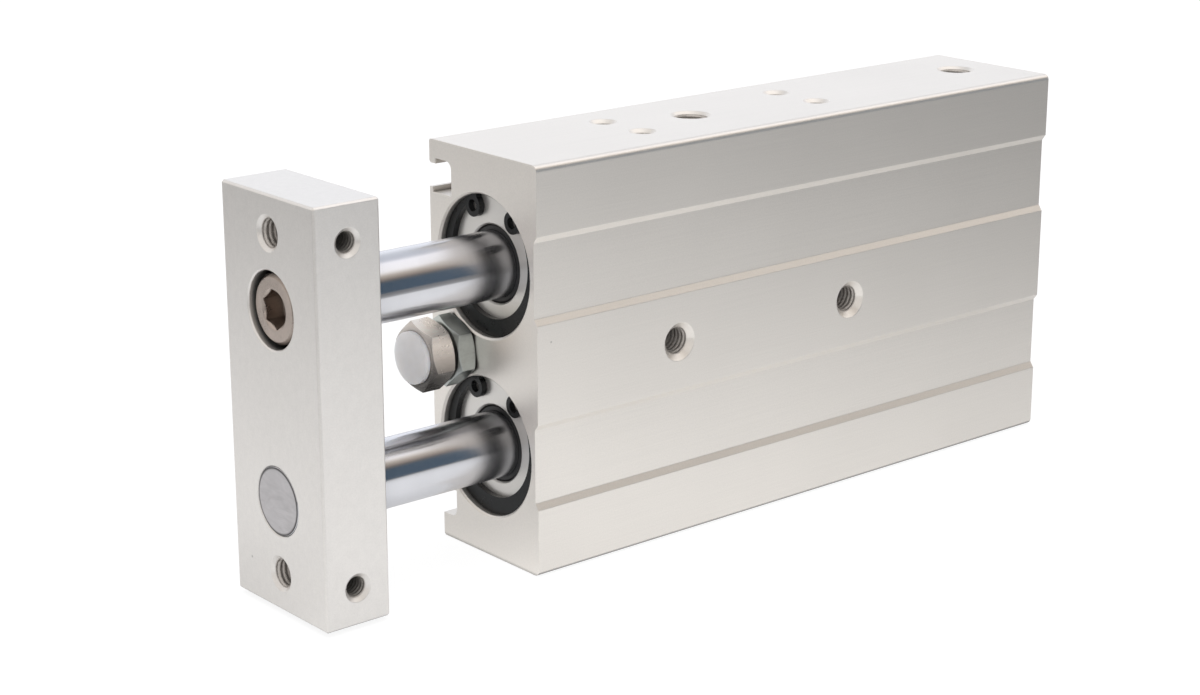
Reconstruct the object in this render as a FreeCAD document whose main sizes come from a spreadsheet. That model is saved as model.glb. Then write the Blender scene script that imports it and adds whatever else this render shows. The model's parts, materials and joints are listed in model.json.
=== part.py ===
import FreeCAD, Part
import math
import os
import Sketcher

# Guided pneumatic cylinder with two rods, 32 mm bores and 75 mm of stroke.
# Millimetres. +X is the way the rods come out, +Y points out of the wide face with the two
# threaded holes, +Z is up. The origin is the middle of the narrow face that the housing stands on.
# The slide (plate, rods and pistons) is drawn part of the way out, as in the photograph.

SIZES = (
    # Housing section
    ("bore_diameter", 32.0, "both cylinder bores"),
    ("side_wall", 4.0, "metal between a bore and a wide face"),
    ("end_wall", 11.0, "metal between a bore and a narrow face"),
    ("middle_wall", 12.0, "metal between the two bores"),
    ("band_depth", 1.1, "depth of the two sunk bands along the wide face"),
    ("band_slope", 1.5, "height of a band's sloped edge"),
    ("centre_band", 23.6, "height of the raised band with the threaded holes"),
    ("outer_band", 16.4, "height of the raised bands next to the narrow faces"),
    ("slot_depth", 8.4, "sensor slots, measured from the wide face"),
    ("slot_height", 8.2, "upper sensor slot behind its lips"),
    ("slot_lip_height", 4.4, "metal between a sensor slot and its narrow face"),
    ("slot_lip_thickness", 2.4, "upper lip of the upper sensor slot"),
    ("slot_lip_hook", 1.3, "how far the upper lip hooks down"),
    ("slot_foot_thickness", 1.2, "lower lip of the upper sensor slot"),
    ("slot_foot_hook", 1.2, "how far the lower lip hooks up"),
    ("slot_corner", 2.0, "rounding inside the sensor slots"),
    ("lower_slot_height", 6.8, "plain sensor slot at the bottom"),
    ("lower_lip_height", 5.8, "metal under the plain sensor slot"),
    ("lower_lip_step", 3.2, "how far the lower lip stands back"),
    ("edge_round", 1.5, "long outer edges beside the wide face with the bands"),
    ("small_round", 0.7, "other long outer edges"),
    # Bore ends
    ("mouth_step", 1.0, "the bore's mouths are wider by this, all round"),
    ("mouth_chamfer", 0.5, "chamfer at the mouths"),
    ("shoulder_depth", 14.0, "front face to the shoulder that stops the rod cover"),
    ("ring_recess", 1.8, "housing face to the retaining ring"),
    ("ring_thickness", 1.5, "retaining rings"),
    ("ring_groove_depth", 1.0, "groove of the retaining rings"),
    ("head_flange", 3.2, "head cover's flange"),
    ("head_spigot", 4.5, "head cover's spigot in the bore"),
    # Stroke and length
    ("stroke", 75.0, "travel of the slide"),
    ("rest_extension", 25.3, "how far the slide stands out"),
    ("cover_reach", 61.0, "front face to the inner end of the rod cover"),
    ("end_gap", 0.3, "free space left at both ends of the stroke"),
    # Mounting holes and ports
    ("first_hole", 43.5, "front face to the first mounting holes"),
    ("hole_spacing", 58.0, "mounting holes, along the housing"),
    ("narrow_hole_pitch", 14.5, "mounting holes, across the narrow faces"),
    ("narrow_hole_shift", 1.0, "narrow-face holes stand nearer to the slots by this"),
    ("narrow_hole_depth", 9.0, "tapped depth in the narrow faces"),
    ("side_thread_depth", 16.0, "tapped depth in the wide face"),
    ("through_hole", 6.4, "bolt holes through the housing"),
    ("counterbore_diameter", 11.0, "bolt head seats on the slot side"),
    ("counterbore_depth", 6.8, "bolt head seats on the slot side"),
    ("drill_m6", 5.0, "tapping drill of the M6 holes"),
    ("mouth_m6", 6.8, "countersunk mouth of the M6 holes"),
    ("drill_m8", 6.8, "tapping drill of the M8 holes"),
    ("mouth_m8", 9.6, "countersunk mouth of the M8 holes in the housing"),
    ("port_drill", 8.6, "tapping drill of the air ports"),
    ("port_mouth", 10.0, "countersunk mouth of the air ports"),
    ("port_depth", 9.0, "tapped depth of the air ports"),
    ("port_passage", 4.4, "air passage under each port"),
    ("front_port_inset", 4.4, "rod cover's inner end to the front port"),
    ("rear_port_inset", 2.5, "head cover's inner end to the rear port"),
    # Rods, covers and seals
    ("rod_diameter", 16.0, "piston rods"),
    ("running_clearance", 0.05, "radial, between the rods and what guides them"),
    ("seat_clearance", 0.04, "radial, between fixed pieces"),
    ("retainer_thickness", 5.0, "seal retainer"),
    ("retainer_lip", 1.9, "front wall of the seal retainer"),
    ("retainer_dish", 0.4, "bevelled inner edge of the retainer's front wall"),
    ("seal_width", 1.3, "rod seal where it shows round the rod"),
    ("seal_step", 2.05, "rod seal's flange stands out by this"),
    ("seal_edge", 0.4, "bevels and notches of the rubber seals"),
    ("o_ring_groove_width", 2.6, "grooves of the cover seals"),
    ("o_ring_groove_depth", 1.7, "grooves of the cover seals"),
    ("o_ring_width", 2.2, "cover seals as squeezed in their grooves"),
    ("o_ring_corner", 0.6, "where the squeezed cover seals are still round"),
    ("grease_groove_width", 3.0, "grooves in the rod cover's bearing bore"),
    ("grease_groove_depth", 0.5, "grooves in the rod cover's bearing bore"),
    ("turned_chamfer", 0.5, "chamfers on the turned pieces"),
    ("rod_chamfer", 0.8, "rod ends"),
    # Retaining rings
    ("ring_back_width", 5.2, "width of a retaining ring opposite its gap"),
    ("ring_taper", 1.5, "how far the ring's inside is off centre, so that it narrows towards the gap"),
    ("ring_lug_radius", 2.7, "ends of a retaining ring"),
    ("ring_eye_depth", 3.5, "middle of the plier holes, inside the ring's outer edge"),
    ("ring_eye_diameter", 2.9, "holes for the pliers"),
    ("ring_lug_angle", 30.5, "from the middle of the gap to a plier hole"),
    ("ring_gap_angle", 22.0, "half of the gap between the ring's narrow ends"),
    ("ring_turn", 84.0, "direction of the gap, from +Y towards +Z"),
    # Pistons
    ("piston_length", 21.4, "piston body"),
    ("piston_clearance", 0.25, "radial, between piston body and bore"),
    ("piston_land", 2.5, "front land of the piston"),
    ("piston_seal_width", 3.4, "groove of the piston seal"),
    ("piston_seal_depth", 3.15, "groove of the piston seal"),
    ("magnet_land", 3.0, "land between seal and magnet"),
    ("magnet_width", 5.2, "groove of the magnet"),
    ("magnet_depth", 2.9, "groove of the magnet"),
    ("magnet_sink", 0.2, "magnet below the piston's surface"),
    ("magnet_gap", 2.0, "gap in the split magnet"),
    ("bumper_thickness", 3.0, "rubber rings on both ends of the piston"),
    ("bumper_margin", 2.35, "rubber rings smaller than the piston by this, all round"),
    ("head_bumper_width", 3.4, "rear rubber ring, from its hole to its edge"),
    ("nut_recess_depth", 6.4, "recess for the piston nut"),
    ("nut_recess_play", 0.75, "between the nut's corners and its recess"),
    ("piston_nut_height", 6.0, "piston nut"),
    # M10 fasteners
    ("thread_m10", 10.0, "M10 screws and studs"),
    ("hex_m10", 16.0, "across the flats of the piston nuts"),
    ("hex_bevel", 0.9, "bevel on the hexagons' corners"),
    # Stroke end stop
    ("stop_offset", 10.6, "bumper bolt, off the middle towards the slots"),
    ("stop_nut_height", 5.0, "lock nut"),
    ("stop_thread_gap", 1.0, "thread that shows between nut and head"),
    ("stop_head_height", 6.4, "bumper bolt's head"),
    ("stop_hexagon", 15.0, "across the flats of the bumper bolt and its lock nut"),
    ("stop_engagement", 22.0, "bumper bolt's thread inside the housing"),
    ("stop_head_turn", 44.0, "how far the bolt's hexagon is turned"),
    ("stop_nut_turn", 38.0, "how far the lock nut is turned"),
    ("pad_diameter", 12.6, "urethane pad"),
    ("pad_socket_depth", 2.2, "seat of the pad in the bolt's head"),
    ("pad_rise", 3.0, "height of the pad's dome above the head"),
    ("pad_rim", 1.2, "height of the pad's edge above the head"),
    # Tool plate
    ("plate_thickness", 17.0, "tool plate"),
    ("plate_side_step", 2.0, "plate narrower than the housing, each side"),
    ("plate_end_step", 1.0, "plate shorter than the housing, each end"),
    ("plate_edge", 0.5, "chamfer round the plate"),
    ("plate_hole_edge", 8.8, "plate's ends to its threaded holes"),
    ("plate_mouth_m8", 8.4, "countersunk mouth of the plate's M8 holes"),
    ("plate_side_depth", 11.5, "tapped depth in the plate's side"),
    ("rod_seat_depth", 2.5, "seat of the upper rod in the plate"),
    ("screw_recess_diameter", 17.8, "recess for the cap screw's head"),
    ("screw_recess_chamfer", 0.35, "chamfer round the recess"),
    ("screw_recess_sink", 1.0, "cap screw's head below the plate's face"),
    ("screw_turn", -20.0, "how far the cap screw's socket is turned"),
    ("screw_head_diameter", 16.0, "cap screw"),
    ("screw_head_height", 10.0, "cap screw"),
    ("screw_socket", 8.0, "hexagon socket of the cap screw"),
    ("screw_socket_depth", 5.0, "hexagon socket of the cap screw"),
    ("screw_engagement", 18.0, "cap screw's thread in the rod"),
    ("set_screw_diameter", 6.0, "set screw that locks the lower rod"),
    ("set_screw_sink", 2.0, "set screw below the plate's side"),
    ("set_screw_socket", 3.0, "hexagon socket of the set screw"),
)

HEX_CORNER = 1 / math.sqrt(3)
DRILL_POINT = 118.0
COUNTERSINK = 90.0
CUTTING = ("PartDesign::Pocket", "PartDesign::Groove", "PartDesign::Hole", "PartDesign::Chamfer")


class Size:
    """A length that carries both its number and the sheet expression that gives it."""

    def __init__(self, value, text):
        self.value = value
        self.text = text

    def __add__(self, other):
        other = as_size(other)
        return Size(self.value + other.value, "(%s + %s)" % (self.text, other.text))

    def __sub__(self, other):
        other = as_size(other)
        return Size(self.value - other.value, "(%s - %s)" % (self.text, other.text))

    def __mul__(self, other):
        other = as_size(other)
        return Size(self.value * other.value, "%s * %s" % (self.text, other.text))

    def __truediv__(self, other):
        other = as_size(other)
        return Size(self.value / other.value, "%s / %s" % (self.text, other.text))

    def __radd__(self, other):
        return as_size(other) + self

    def __rsub__(self, other):
        return as_size(other) - self

    def __rmul__(self, other):
        return as_size(other) * self

    def __neg__(self):
        return Size(-self.value, "(0 - %s)" % self.text)


def as_size(number):
    """Takes a plain number or a Size."""
    if isinstance(number, Size):
        return number
    text = repr(float(number))
    return Size(float(number), "(%s)" % text if number < 0 else text)


class Sizes:
    """The sheet's values by name, and the places that several sub-parts share."""

    def __init__(self, names):
        for name, value, _ in names:
            setattr(self, name, Size(float(value), "Sizes." + name))
        self.bore = self.bore_diameter / 2
        self.mouth = self.bore + self.mouth_step
        self.ring_groove = self.mouth + self.ring_groove_depth
        self.half_width = self.bore + self.side_wall
        self.bore_height = (self.bore_diameter + self.middle_wall) / 2
        self.half_height = self.bore_height + self.bore + self.end_wall
        self.rod = self.rod_diameter / 2
        self.thread = self.thread_m10 / 2
        self.thread_hole = self.thread + self.seat_clearance
        self.nut_recess = self.hex_m10 * HEX_CORNER + self.nut_recess_play
        # Distances behind the housing's front face
        self.cover_face = self.ring_recess + self.ring_thickness
        self.flange_face = self.cover_face + self.retainer_thickness
        self.bumper_edge = self.bore - self.piston_clearance - self.bumper_margin
        self.piston_pack = self.piston_length + 2 * self.bumper_thickness
        self.chamber = self.stroke + self.piston_pack + 2 * self.end_gap
        self.head_face = self.cover_reach + self.chamber
        self.rear_shoulder = self.head_face + self.head_spigot
        self.body_length = self.rear_shoulder + self.head_flange + self.cover_face
        self.front_port = self.cover_reach + self.front_port_inset
        self.rear_port = self.head_face - self.rear_port_inset
        # Places along X in the part's own frame
        self.front = self.body_length / 2
        self.piston_rear = self.front - self.head_face + self.end_gap + self.rest_extension
        self.piston_face = self.piston_rear + self.bumper_thickness + self.piston_length
        self.stop_reach = self.stop_nut_height + self.stop_thread_gap + self.stop_head_height + self.pad_rise
        self.plate_face = self.front + self.stop_reach + self.end_gap + self.rest_extension
        self.plate_half_width = self.half_width - self.plate_side_step
        self.plate_half_height = self.half_height - self.plate_end_step
        self.screw_seat = self.plate_thickness - self.screw_head_height - self.screw_recess_sink


S = Sizes(SIZES)
doc = FreeCAD.newDocument("guided_cylinder")


def fill_sheet():
    """Writes the driving dimensions into the sheet: name, number, note."""
    sheet = doc.addObject("Spreadsheet::Sheet", "Sizes")
    for row, (name, value, note) in enumerate(SIZES, start=1):
        sheet.set("A%d" % row, name)
        sheet.set("B%d" % row, str(value))
        sheet.set("C%d" % row, note)
        sheet.setAlias("B%d" % row, name)
    doc.recompute()


def bind(item, **sizes):
    """Sets properties of a feature and ties each to its expression."""
    for name, size in sizes.items():
        size = as_size(size)
        setattr(item, name, size.value)
        item.setExpression(name, size.text)


def new_body(name):
    body = doc.addObject("PartDesign::Body", name)
    body.Label = name
    return body


def new_sketch(body, name, role, offset=None):
    """A sketch on one of the body's own origin planes, moved along the plane's normal."""
    sketch = body.newObject("Sketcher::SketchObject", "%s_%s" % (body.Name, name))
    plane = [item for item in body.Origin.OriginFeatures if item.Role == role][0]
    sketch.AttachmentSupport = [(plane, "")]
    sketch.MapMode = "FlatFace"
    if offset is not None:
        sketch.setExpression("AttachmentOffset.Base.z", offset.text)
    return sketch


def hold(sketch, geometry, point, x, y):
    """Ties a point of the sketch to its two distances from the sketch's origin."""
    for kind, size in (("DistanceX", as_size(x)), ("DistanceY", as_size(y))):
        index = sketch.addConstraint(Sketcher.Constraint(kind, -1, 1, geometry, point, size.value))
        sketch.setExpression("Constraints[%d]" % index, size.text)


def add_outline(sketch, corners):
    """A closed outline of straight lines through the corners."""
    corners = [(as_size(x), as_size(y)) for x, y in corners]
    points = [FreeCAD.Vector(x.value, y.value, 0) for x, y in corners]
    start = sketch.GeometryCount
    for here, there in zip(points, points[1:] + points[:1]):
        sketch.addGeometry(Part.LineSegment(here, there), False)
    for number, (x, y) in enumerate(corners):
        following = start + (number + 1) % len(corners)
        sketch.addConstraint(Sketcher.Constraint("Coincident", start + number, 2, following, 1))
        hold(sketch, start + number, 1, x, y)


def add_circle(sketch, x, y, diameter):
    x, y, diameter = as_size(x), as_size(y), as_size(diameter)
    centre = FreeCAD.Vector(x.value, y.value, 0)
    circle = sketch.addGeometry(Part.Circle(centre, FreeCAD.Vector(0, 0, 1), diameter.value / 2), False)
    index = sketch.addConstraint(Sketcher.Constraint("Diameter", circle, diameter.value))
    sketch.setExpression("Constraints[%d]" % index, diameter.text)
    hold(sketch, circle, 3, x, y)


def add_feature(body, kind, name, sketch, **sizes):
    feature = body.newObject("PartDesign::" + kind, "%s_%s" % (body.Name, name))
    feature.Profile = sketch
    bind(feature, **sizes)
    return feature


def turn(body, kind, name, sketch):
    """Revolution or Groove about the sketch's horizontal axis."""
    feature = add_feature(body, kind, name, sketch, Angle=360)
    feature.ReferenceAxis = (sketch, ["H_Axis"])
    return feature


def turned_body(name, profile):
    """A lathe-turned piece, its profile given as (place along X, radius) corners."""
    body = new_body(name)
    sketch = new_sketch(body, "profile", "XY_Plane")
    add_outline(sketch, profile)
    turn(body, "Revolution", "turned", sketch)
    return body


def hexagon(across_flats):
    """Six corners of a hexagon with flats above and below the middle."""
    corner = across_flats * HEX_CORNER
    flat = across_flats / 2
    return [(corner, 0), (corner / 2, flat), (-corner / 2, flat),
            (-corner, 0), (-corner / 2, -flat), (corner / 2, -flat)]


def bevel_hexagon(body, name, face, inward, across_flats):
    """Turns the corners of a hexagon down to its inscribed circle at one face."""
    sketch = new_sketch(body, name, "XY_Plane")
    outer = across_flats * HEX_CORNER + 1
    inner = across_flats / 2 * 0.97
    drop = (outer - inner) * HEX_CORNER
    add_outline(sketch, [(face, inner), (face, outer), (face + drop * inward, outer)])
    turn(body, "Groove", name + "_cut", sketch)


def drill(body, name, sketch, diameter, depth, mouth, reverse):
    """Blind tapped holes at the sketch's circles, each with a countersunk mouth."""
    doc.recompute()
    feature = body.newObject("PartDesign::Hole", "%s_%s" % (body.Name, name))
    feature.Profile = sketch
    feature.ThreadType = "None"
    feature.DepthType = "Dimension"
    feature.DrillPoint = "Angled"
    feature.DrillPointAngle = DRILL_POINT
    feature.HoleCutType = "Countersink"
    feature.HoleCutCountersinkAngle = COUNTERSINK
    feature.Reversed = reverse
    bind(feature, Diameter=diameter, Depth=depth, HoleCutDiameter=mouth)
    return feature


def long_edges(feature, places):
    """Names of the feature's edges that run along X through the given (y, z) places."""
    names = []
    for number, edge in enumerate(feature.Shape.Edges, start=1):
        first, last = edge.Vertexes[0].Point, edge.Vertexes[-1].Point
        along = abs(first.y - last.y) + abs(first.z - last.z) < 1e-6
        if along and any(abs(first.y - y.value) + abs(first.z - z.value) < 1e-5 for y, z in places):
            names.append("Edge%d" % number)
    return names


def round_edges(body, name, feature, places, radius):
    """Rounds the long edges at the given (y, z) places."""
    doc.recompute()
    fillet = body.newObject("PartDesign::Fillet", "%s_%s" % (body.Name, name))
    fillet.Base = (feature, long_edges(feature, places))
    bind(fillet, Radius=radius)
    return fillet


def place(item, x, y, z, axis=None, angle=None):
    """Puts a finished sub-part at its place, turned about one axis where it needs that."""
    x, y, z = as_size(x), as_size(y), as_size(z)
    turned = FreeCAD.Rotation()
    if axis is not None:
        turned = FreeCAD.Rotation(axis, as_size(angle).value)
    item.Placement = FreeCAD.Placement(FreeCAD.Vector(x.value, y.value, z.value), turned)
    for part, size in (("x", x), ("y", y), ("z", z)):
        item.setExpression("Placement.Base." + part, size.text)
    if isinstance(angle, Size):
        item.setExpression("Placement.Rotation.Angle", angle.text)


def bore_centre(side):
    """Height of the upper (side 1) or lower (side -1) bore above the foot of the housing."""
    return S.half_height + S.bore_height * side


# Housing


def housing_section():
    """Corners of the extruded section, seen from the front with +Y to the right."""
    wide, tall = S.half_width, S.half_height
    sunk = wide - S.band_depth
    centre = S.centre_band / 2
    outer = tall - S.outer_band
    band_edges = [(wide, centre), (sunk, centre + S.band_slope), (sunk, outer - S.band_slope), (wide, outer)]
    right = [(wide, -tall)] + [(y, -z) for y, z in reversed(band_edges)] + band_edges + [(wide, tall)]
    slot_wall = -wide + S.slot_depth
    ceiling = tall - S.slot_lip_height
    floor = ceiling - S.slot_height
    lip = -wide + S.slot_lip_thickness
    foot = -wide + S.slot_foot_thickness
    upper_slot = [(-wide, tall), (-wide, ceiling - S.slot_lip_hook), (lip, ceiling - S.slot_lip_hook),
                  (lip, ceiling), (slot_wall, ceiling), (slot_wall, floor), (foot, floor),
                  (foot, floor + S.slot_foot_hook), (-wide, floor + S.slot_foot_hook)]
    lip_top = -tall + S.lower_lip_height
    roof = lip_top + S.lower_slot_height
    set_back = -wide + S.lower_lip_step
    lower_slot = [(-wide, roof), (slot_wall, roof), (slot_wall, lip_top),
                  (set_back, lip_top), (set_back, -tall)]
    return right + upper_slot + lower_slot


def bore_profile():
    """(x, radius) corners of one bore with its mouths, shoulders and ring grooves; x = 0 in front."""
    length = S.body_length
    wide = S.mouth + S.mouth_chamfer
    ring = S.ring_recess + S.ring_thickness
    return [(0, 0), (0, wide), (-S.mouth_chamfer, S.mouth),
            (-S.ring_recess, S.mouth), (-S.ring_recess, S.ring_groove),
            (-ring, S.ring_groove), (-ring, S.mouth),
            (-S.shoulder_depth, S.mouth), (-S.shoulder_depth, S.bore),
            (-S.rear_shoulder, S.bore), (-S.rear_shoulder, S.mouth),
            (ring - length, S.mouth), (ring - length, S.ring_groove),
            (S.ring_recess - length, S.ring_groove), (S.ring_recess - length, S.mouth),
            (S.mouth_chamfer - length, S.mouth), (-length, wide), (-length, 0)]


def make_housing():
    """Extruded section, bored for the two pistons and drilled for air and for mounting."""
    body = new_body("housing")
    section = new_sketch(body, "section", "YZ_Plane")
    add_outline(section, housing_section())
    bar = add_feature(body, "Pad", "extrusion", section, Length=S.body_length)
    bar.Reversed = True
    round_housing(body, bar)
    for side, name in ((1, "upper"), (-1, "lower")):
        sketch = new_sketch(body, name + "_bore_profile", "XY_Plane", S.bore_height * side)
        add_outline(sketch, bore_profile())
        turn(body, "Groove", name + "_bore", sketch)
    drill_narrow_faces(body)
    drill_ports(body)
    drill_wide_faces(body)
    stop = new_sketch(body, "stop_centre", "YZ_Plane")
    add_circle(stop, -S.stop_offset, 0, S.thread_hole * 2)
    drill(body, "stop_hole", stop, S.thread_hole * 2, S.stop_engagement + 2, S.thread_hole * 2 + 1, False)
    place(body, S.front, 0, S.half_height)
    return body


def round_housing(body, bar):
    """Rounds the long edges and the inside of the sensor slots."""
    wide, tall = S.half_width, S.half_height
    slot_wall = -wide + S.slot_depth
    ceiling = tall - S.slot_lip_height
    lip_top = -tall + S.lower_lip_height
    near = round_edges(body, "band_side_edges", bar, [(wide, tall), (wide, -tall)], S.edge_round)
    inside = [(slot_wall, ceiling), (slot_wall, lip_top)]
    slots = round_edges(body, "slot_corners", near, inside, S.slot_corner)
    outside = [(-wide, tall), (-wide + S.lower_lip_step, -tall), (-wide, ceiling - S.slot_lip_hook)]
    round_edges(body, "slot_side_edges", slots, outside, S.small_round)


def hole_rows():
    """The two stations along the housing that carry mounting holes."""
    return (-S.first_hole, -S.first_hole - S.hole_spacing)


def drill_narrow_faces(body):
    """Four tapped holes in the top face and four in the bottom face."""
    across = [-S.narrow_hole_shift + S.narrow_hole_pitch / 2, -S.narrow_hole_shift - S.narrow_hole_pitch / 2]
    for name, offset, reverse in (("top", S.half_height, False), ("bottom", -S.half_height, True)):
        sketch = new_sketch(body, name + "_centres", "XY_Plane", offset)
        for x in hole_rows():
            for y in across:
                add_circle(sketch, x, y, S.drill_m6)
        drill(body, name + "_holes", sketch, S.drill_m6, S.narrow_hole_depth, S.mouth_m6, reverse)


def drill_ports(body):
    """Two tapped ports in the top face, each with a passage on into both bores."""
    ports = new_sketch(body, "port_centres", "XY_Plane", S.half_height)
    passages = new_sketch(body, "passage_centres", "XY_Plane", S.half_height)
    for x in (-S.front_port, -S.rear_port):
        add_circle(ports, x, -S.narrow_hole_shift, S.port_drill)
        add_circle(passages, x, -S.narrow_hole_shift, S.port_passage)
    drill(body, "ports", ports, S.port_drill, S.port_depth, S.port_mouth, False)
    reach = S.end_wall + S.bore_diameter + S.middle_wall + S.port_passage
    add_feature(body, "Pocket", "passages", passages, Length=reach)


def drill_wide_faces(body):
    """Two holes right through between the bores: tapped on one side, counterbored on the other."""
    tapped = new_sketch(body, "side_centres", "XZ_Plane", -S.half_width)
    clear = new_sketch(body, "through_centres", "XZ_Plane", S.half_width)
    seats = new_sketch(body, "seat_centres", "XZ_Plane", S.half_width)
    for x in hole_rows():
        add_circle(tapped, x, 0, S.drill_m8)
        add_circle(clear, x, 0, S.through_hole)
        add_circle(seats, x, 0, S.counterbore_diameter)
    drill(body, "side_holes", tapped, S.drill_m8, S.side_thread_depth, S.mouth_m8, True)
    add_feature(body, "Pocket", "through_holes", clear, Length=S.half_width * 2 - S.side_thread_depth)
    add_feature(body, "Pocket", "bolt_seats", seats, Length=S.counterbore_depth)


# Front and rear closures of a bore


def make_rod_cover(name, side):
    """Flanged bush that guides the rod: x = 0 on the flange's front face, the rest behind it."""
    outer, inner = S.mouth - S.seat_clearance, S.bore - S.seat_clearance
    bearing = S.rod + S.running_clearance
    grease = bearing + S.grease_groove_depth
    flange = S.flange_face - S.shoulder_depth
    end = S.flange_face - S.cover_reach
    root = S.bore - S.o_ring_groove_depth
    groove_rear = end + 2 * S.o_ring_groove_width
    groove_front = groove_rear + S.o_ring_groove_width
    profile = [(0, bearing + S.turned_chamfer), (0, outer), (flange, outer), (flange, inner),
               (groove_front, inner), (groove_front, root), (groove_rear, root), (groove_rear, inner),
               (end + S.turned_chamfer, inner), (end, inner - S.turned_chamfer),
               (end, bearing + S.turned_chamfer), (end + S.turned_chamfer, bearing)]
    for place_of_groove in (end * 2 / 3, end / 3):
        behind = place_of_groove - S.grease_groove_width / 2
        ahead = place_of_groove + S.grease_groove_width / 2
        profile += [(behind, bearing), (behind, grease), (ahead, grease), (ahead, bearing)]
    profile.append((-S.turned_chamfer, bearing))
    cover = turned_body(name, profile)
    place(cover, S.front - S.flange_face, 0, bore_centre(side))
    return cover


def make_o_ring(name, side, x):
    """Rubber ring squeezed flat between its groove and the bore: x = 0 in its middle."""
    half, corner = S.o_ring_width / 2, S.o_ring_corner
    outer = S.bore - S.seat_clearance / 2
    inner = S.bore - S.o_ring_groove_depth + S.seat_clearance / 2
    ring = turned_body(name, [
        (-half, inner + corner), (-half, outer - corner), (corner - half, outer), (half - corner, outer),
        (half, outer - corner), (half, inner + corner), (half - corner, inner), (corner - half, inner)])
    place(ring, x, 0, bore_centre(side))
    return ring


def make_cover_o_ring(name, side):
    return make_o_ring(name, side, S.front - S.cover_reach + S.o_ring_groove_width * 2.5)


def make_seal_retainer(name, side):
    """Disc that holds the rod seal: x = 0 on its front face."""
    outer = S.mouth - S.seat_clearance
    throat = S.rod + S.seal_width + S.seat_clearance
    pocket = throat + S.seal_step
    end = -S.retainer_thickness
    retainer = turned_body(name, [
        (0, throat + S.retainer_dish), (0, outer - S.turned_chamfer), (-S.turned_chamfer, outer),
        (end, outer), (end, pocket), (-S.retainer_lip, pocket), (-S.retainer_lip, throat),
        (-S.retainer_dish, throat)])
    place(retainer, S.front - S.cover_face, 0, bore_centre(side))
    return retainer


def make_rod_seal(name, side):
    """Rubber seal with a wiper in front and an open pressure lip behind."""
    inner = S.rod + S.running_clearance
    wiper = S.rod + S.seal_width
    flange = wiper + S.seal_step
    front = -S.retainer_dish - S.seat_clearance
    step = -S.retainer_lip - S.seat_clearance
    end = -S.retainer_thickness + S.seat_clearance
    middle = (inner + flange) / 2
    seal = turned_body(name, [
        (front, inner), (front, wiper - S.seal_edge), (front - S.seal_edge, wiper), (step, wiper),
        (step, flange), (end, flange), (end, middle + S.seal_edge), ((step + end) / 2, middle),
        (end, middle - S.seal_edge), (end, inner)])
    place(seal, S.front - S.cover_face, 0, bore_centre(side))
    return seal


def make_retaining_ring(name, side, x):
    """Spring ring that narrows towards its gap and ends in two lugs with eyes: gap at +Y, x = 0 in front."""
    body = new_body(name)
    blank = new_sketch(body, "blank", "YZ_Plane")
    outer = S.ring_groove - S.seat_clearance * 2
    add_circle(blank, 0, 0, outer * 2)
    add_circle(blank, S.ring_taper, 0, (outer - S.ring_back_width + S.ring_taper) * 2)
    add_feature(body, "Pad", "ring", blank, Length=S.ring_thickness).Reversed = True
    reach = S.ring_groove * 2
    side_way = math.tan(math.radians(S.ring_gap_angle.value))
    gap = new_sketch(body, "gap", "YZ_Plane")
    add_outline(gap, [(0, 0), (reach, -reach * side_way), (reach, reach * side_way)])
    add_feature(body, "Pocket", "opening", gap, Length=S.ring_thickness)
    lugs = new_sketch(body, "lugs", "YZ_Plane")
    eyes = new_sketch(body, "eyes", "YZ_Plane")
    lug_place = outer - S.ring_eye_depth
    for direction in (1, -1):
        angle = math.radians(S.ring_lug_angle.value) * direction
        y, z = lug_place * math.cos(angle), lug_place * math.sin(angle)
        add_circle(lugs, y, z, S.ring_lug_radius * 2)
        add_circle(eyes, y, z, S.ring_eye_diameter)
    add_feature(body, "Pad", "lug_discs", lugs, Length=S.ring_thickness).Reversed = True
    add_feature(body, "Pocket", "plier_eyes", eyes, Length=S.ring_thickness)
    place(body, x, 0, bore_centre(side), FreeCAD.Vector(1, 0, 0), S.ring_turn)
    return body


def make_front_ring(name, side):
    return make_retaining_ring(name, side, S.front - S.ring_recess)


def make_rear_ring(name, side):
    return make_retaining_ring(name, side, S.cover_face - S.front)


def make_head_cover(name, side):
    """Plug that closes the rear of a bore: x = 0 on its outer face, spigot towards +X."""
    outer, inner = S.mouth - S.seat_clearance, S.bore - S.seat_clearance
    root = S.bore - S.o_ring_groove_depth
    end = S.head_flange + S.head_spigot
    groove = S.head_flange + (S.head_spigot - S.o_ring_groove_width) / 2
    centre = S.turned_chamfer * 3
    cover = turned_body(name, [
        (centre, 0), (0, centre), (0, outer - S.turned_chamfer), (S.turned_chamfer, outer),
        (S.head_flange, outer), (S.head_flange, inner), (groove, inner), (groove, root),
        (groove + S.o_ring_groove_width, root), (groove + S.o_ring_groove_width, inner),
        (end - S.turned_chamfer, inner), (end, inner - S.turned_chamfer), (end, 0)])
    place(cover, S.cover_face - S.front, 0, bore_centre(side))
    return cover


def make_head_o_ring(name, side):
    return make_o_ring(name, side, S.cover_face - S.front + S.head_flange + S.head_spigot / 2)


# Adjustable stop on the front face


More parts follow.
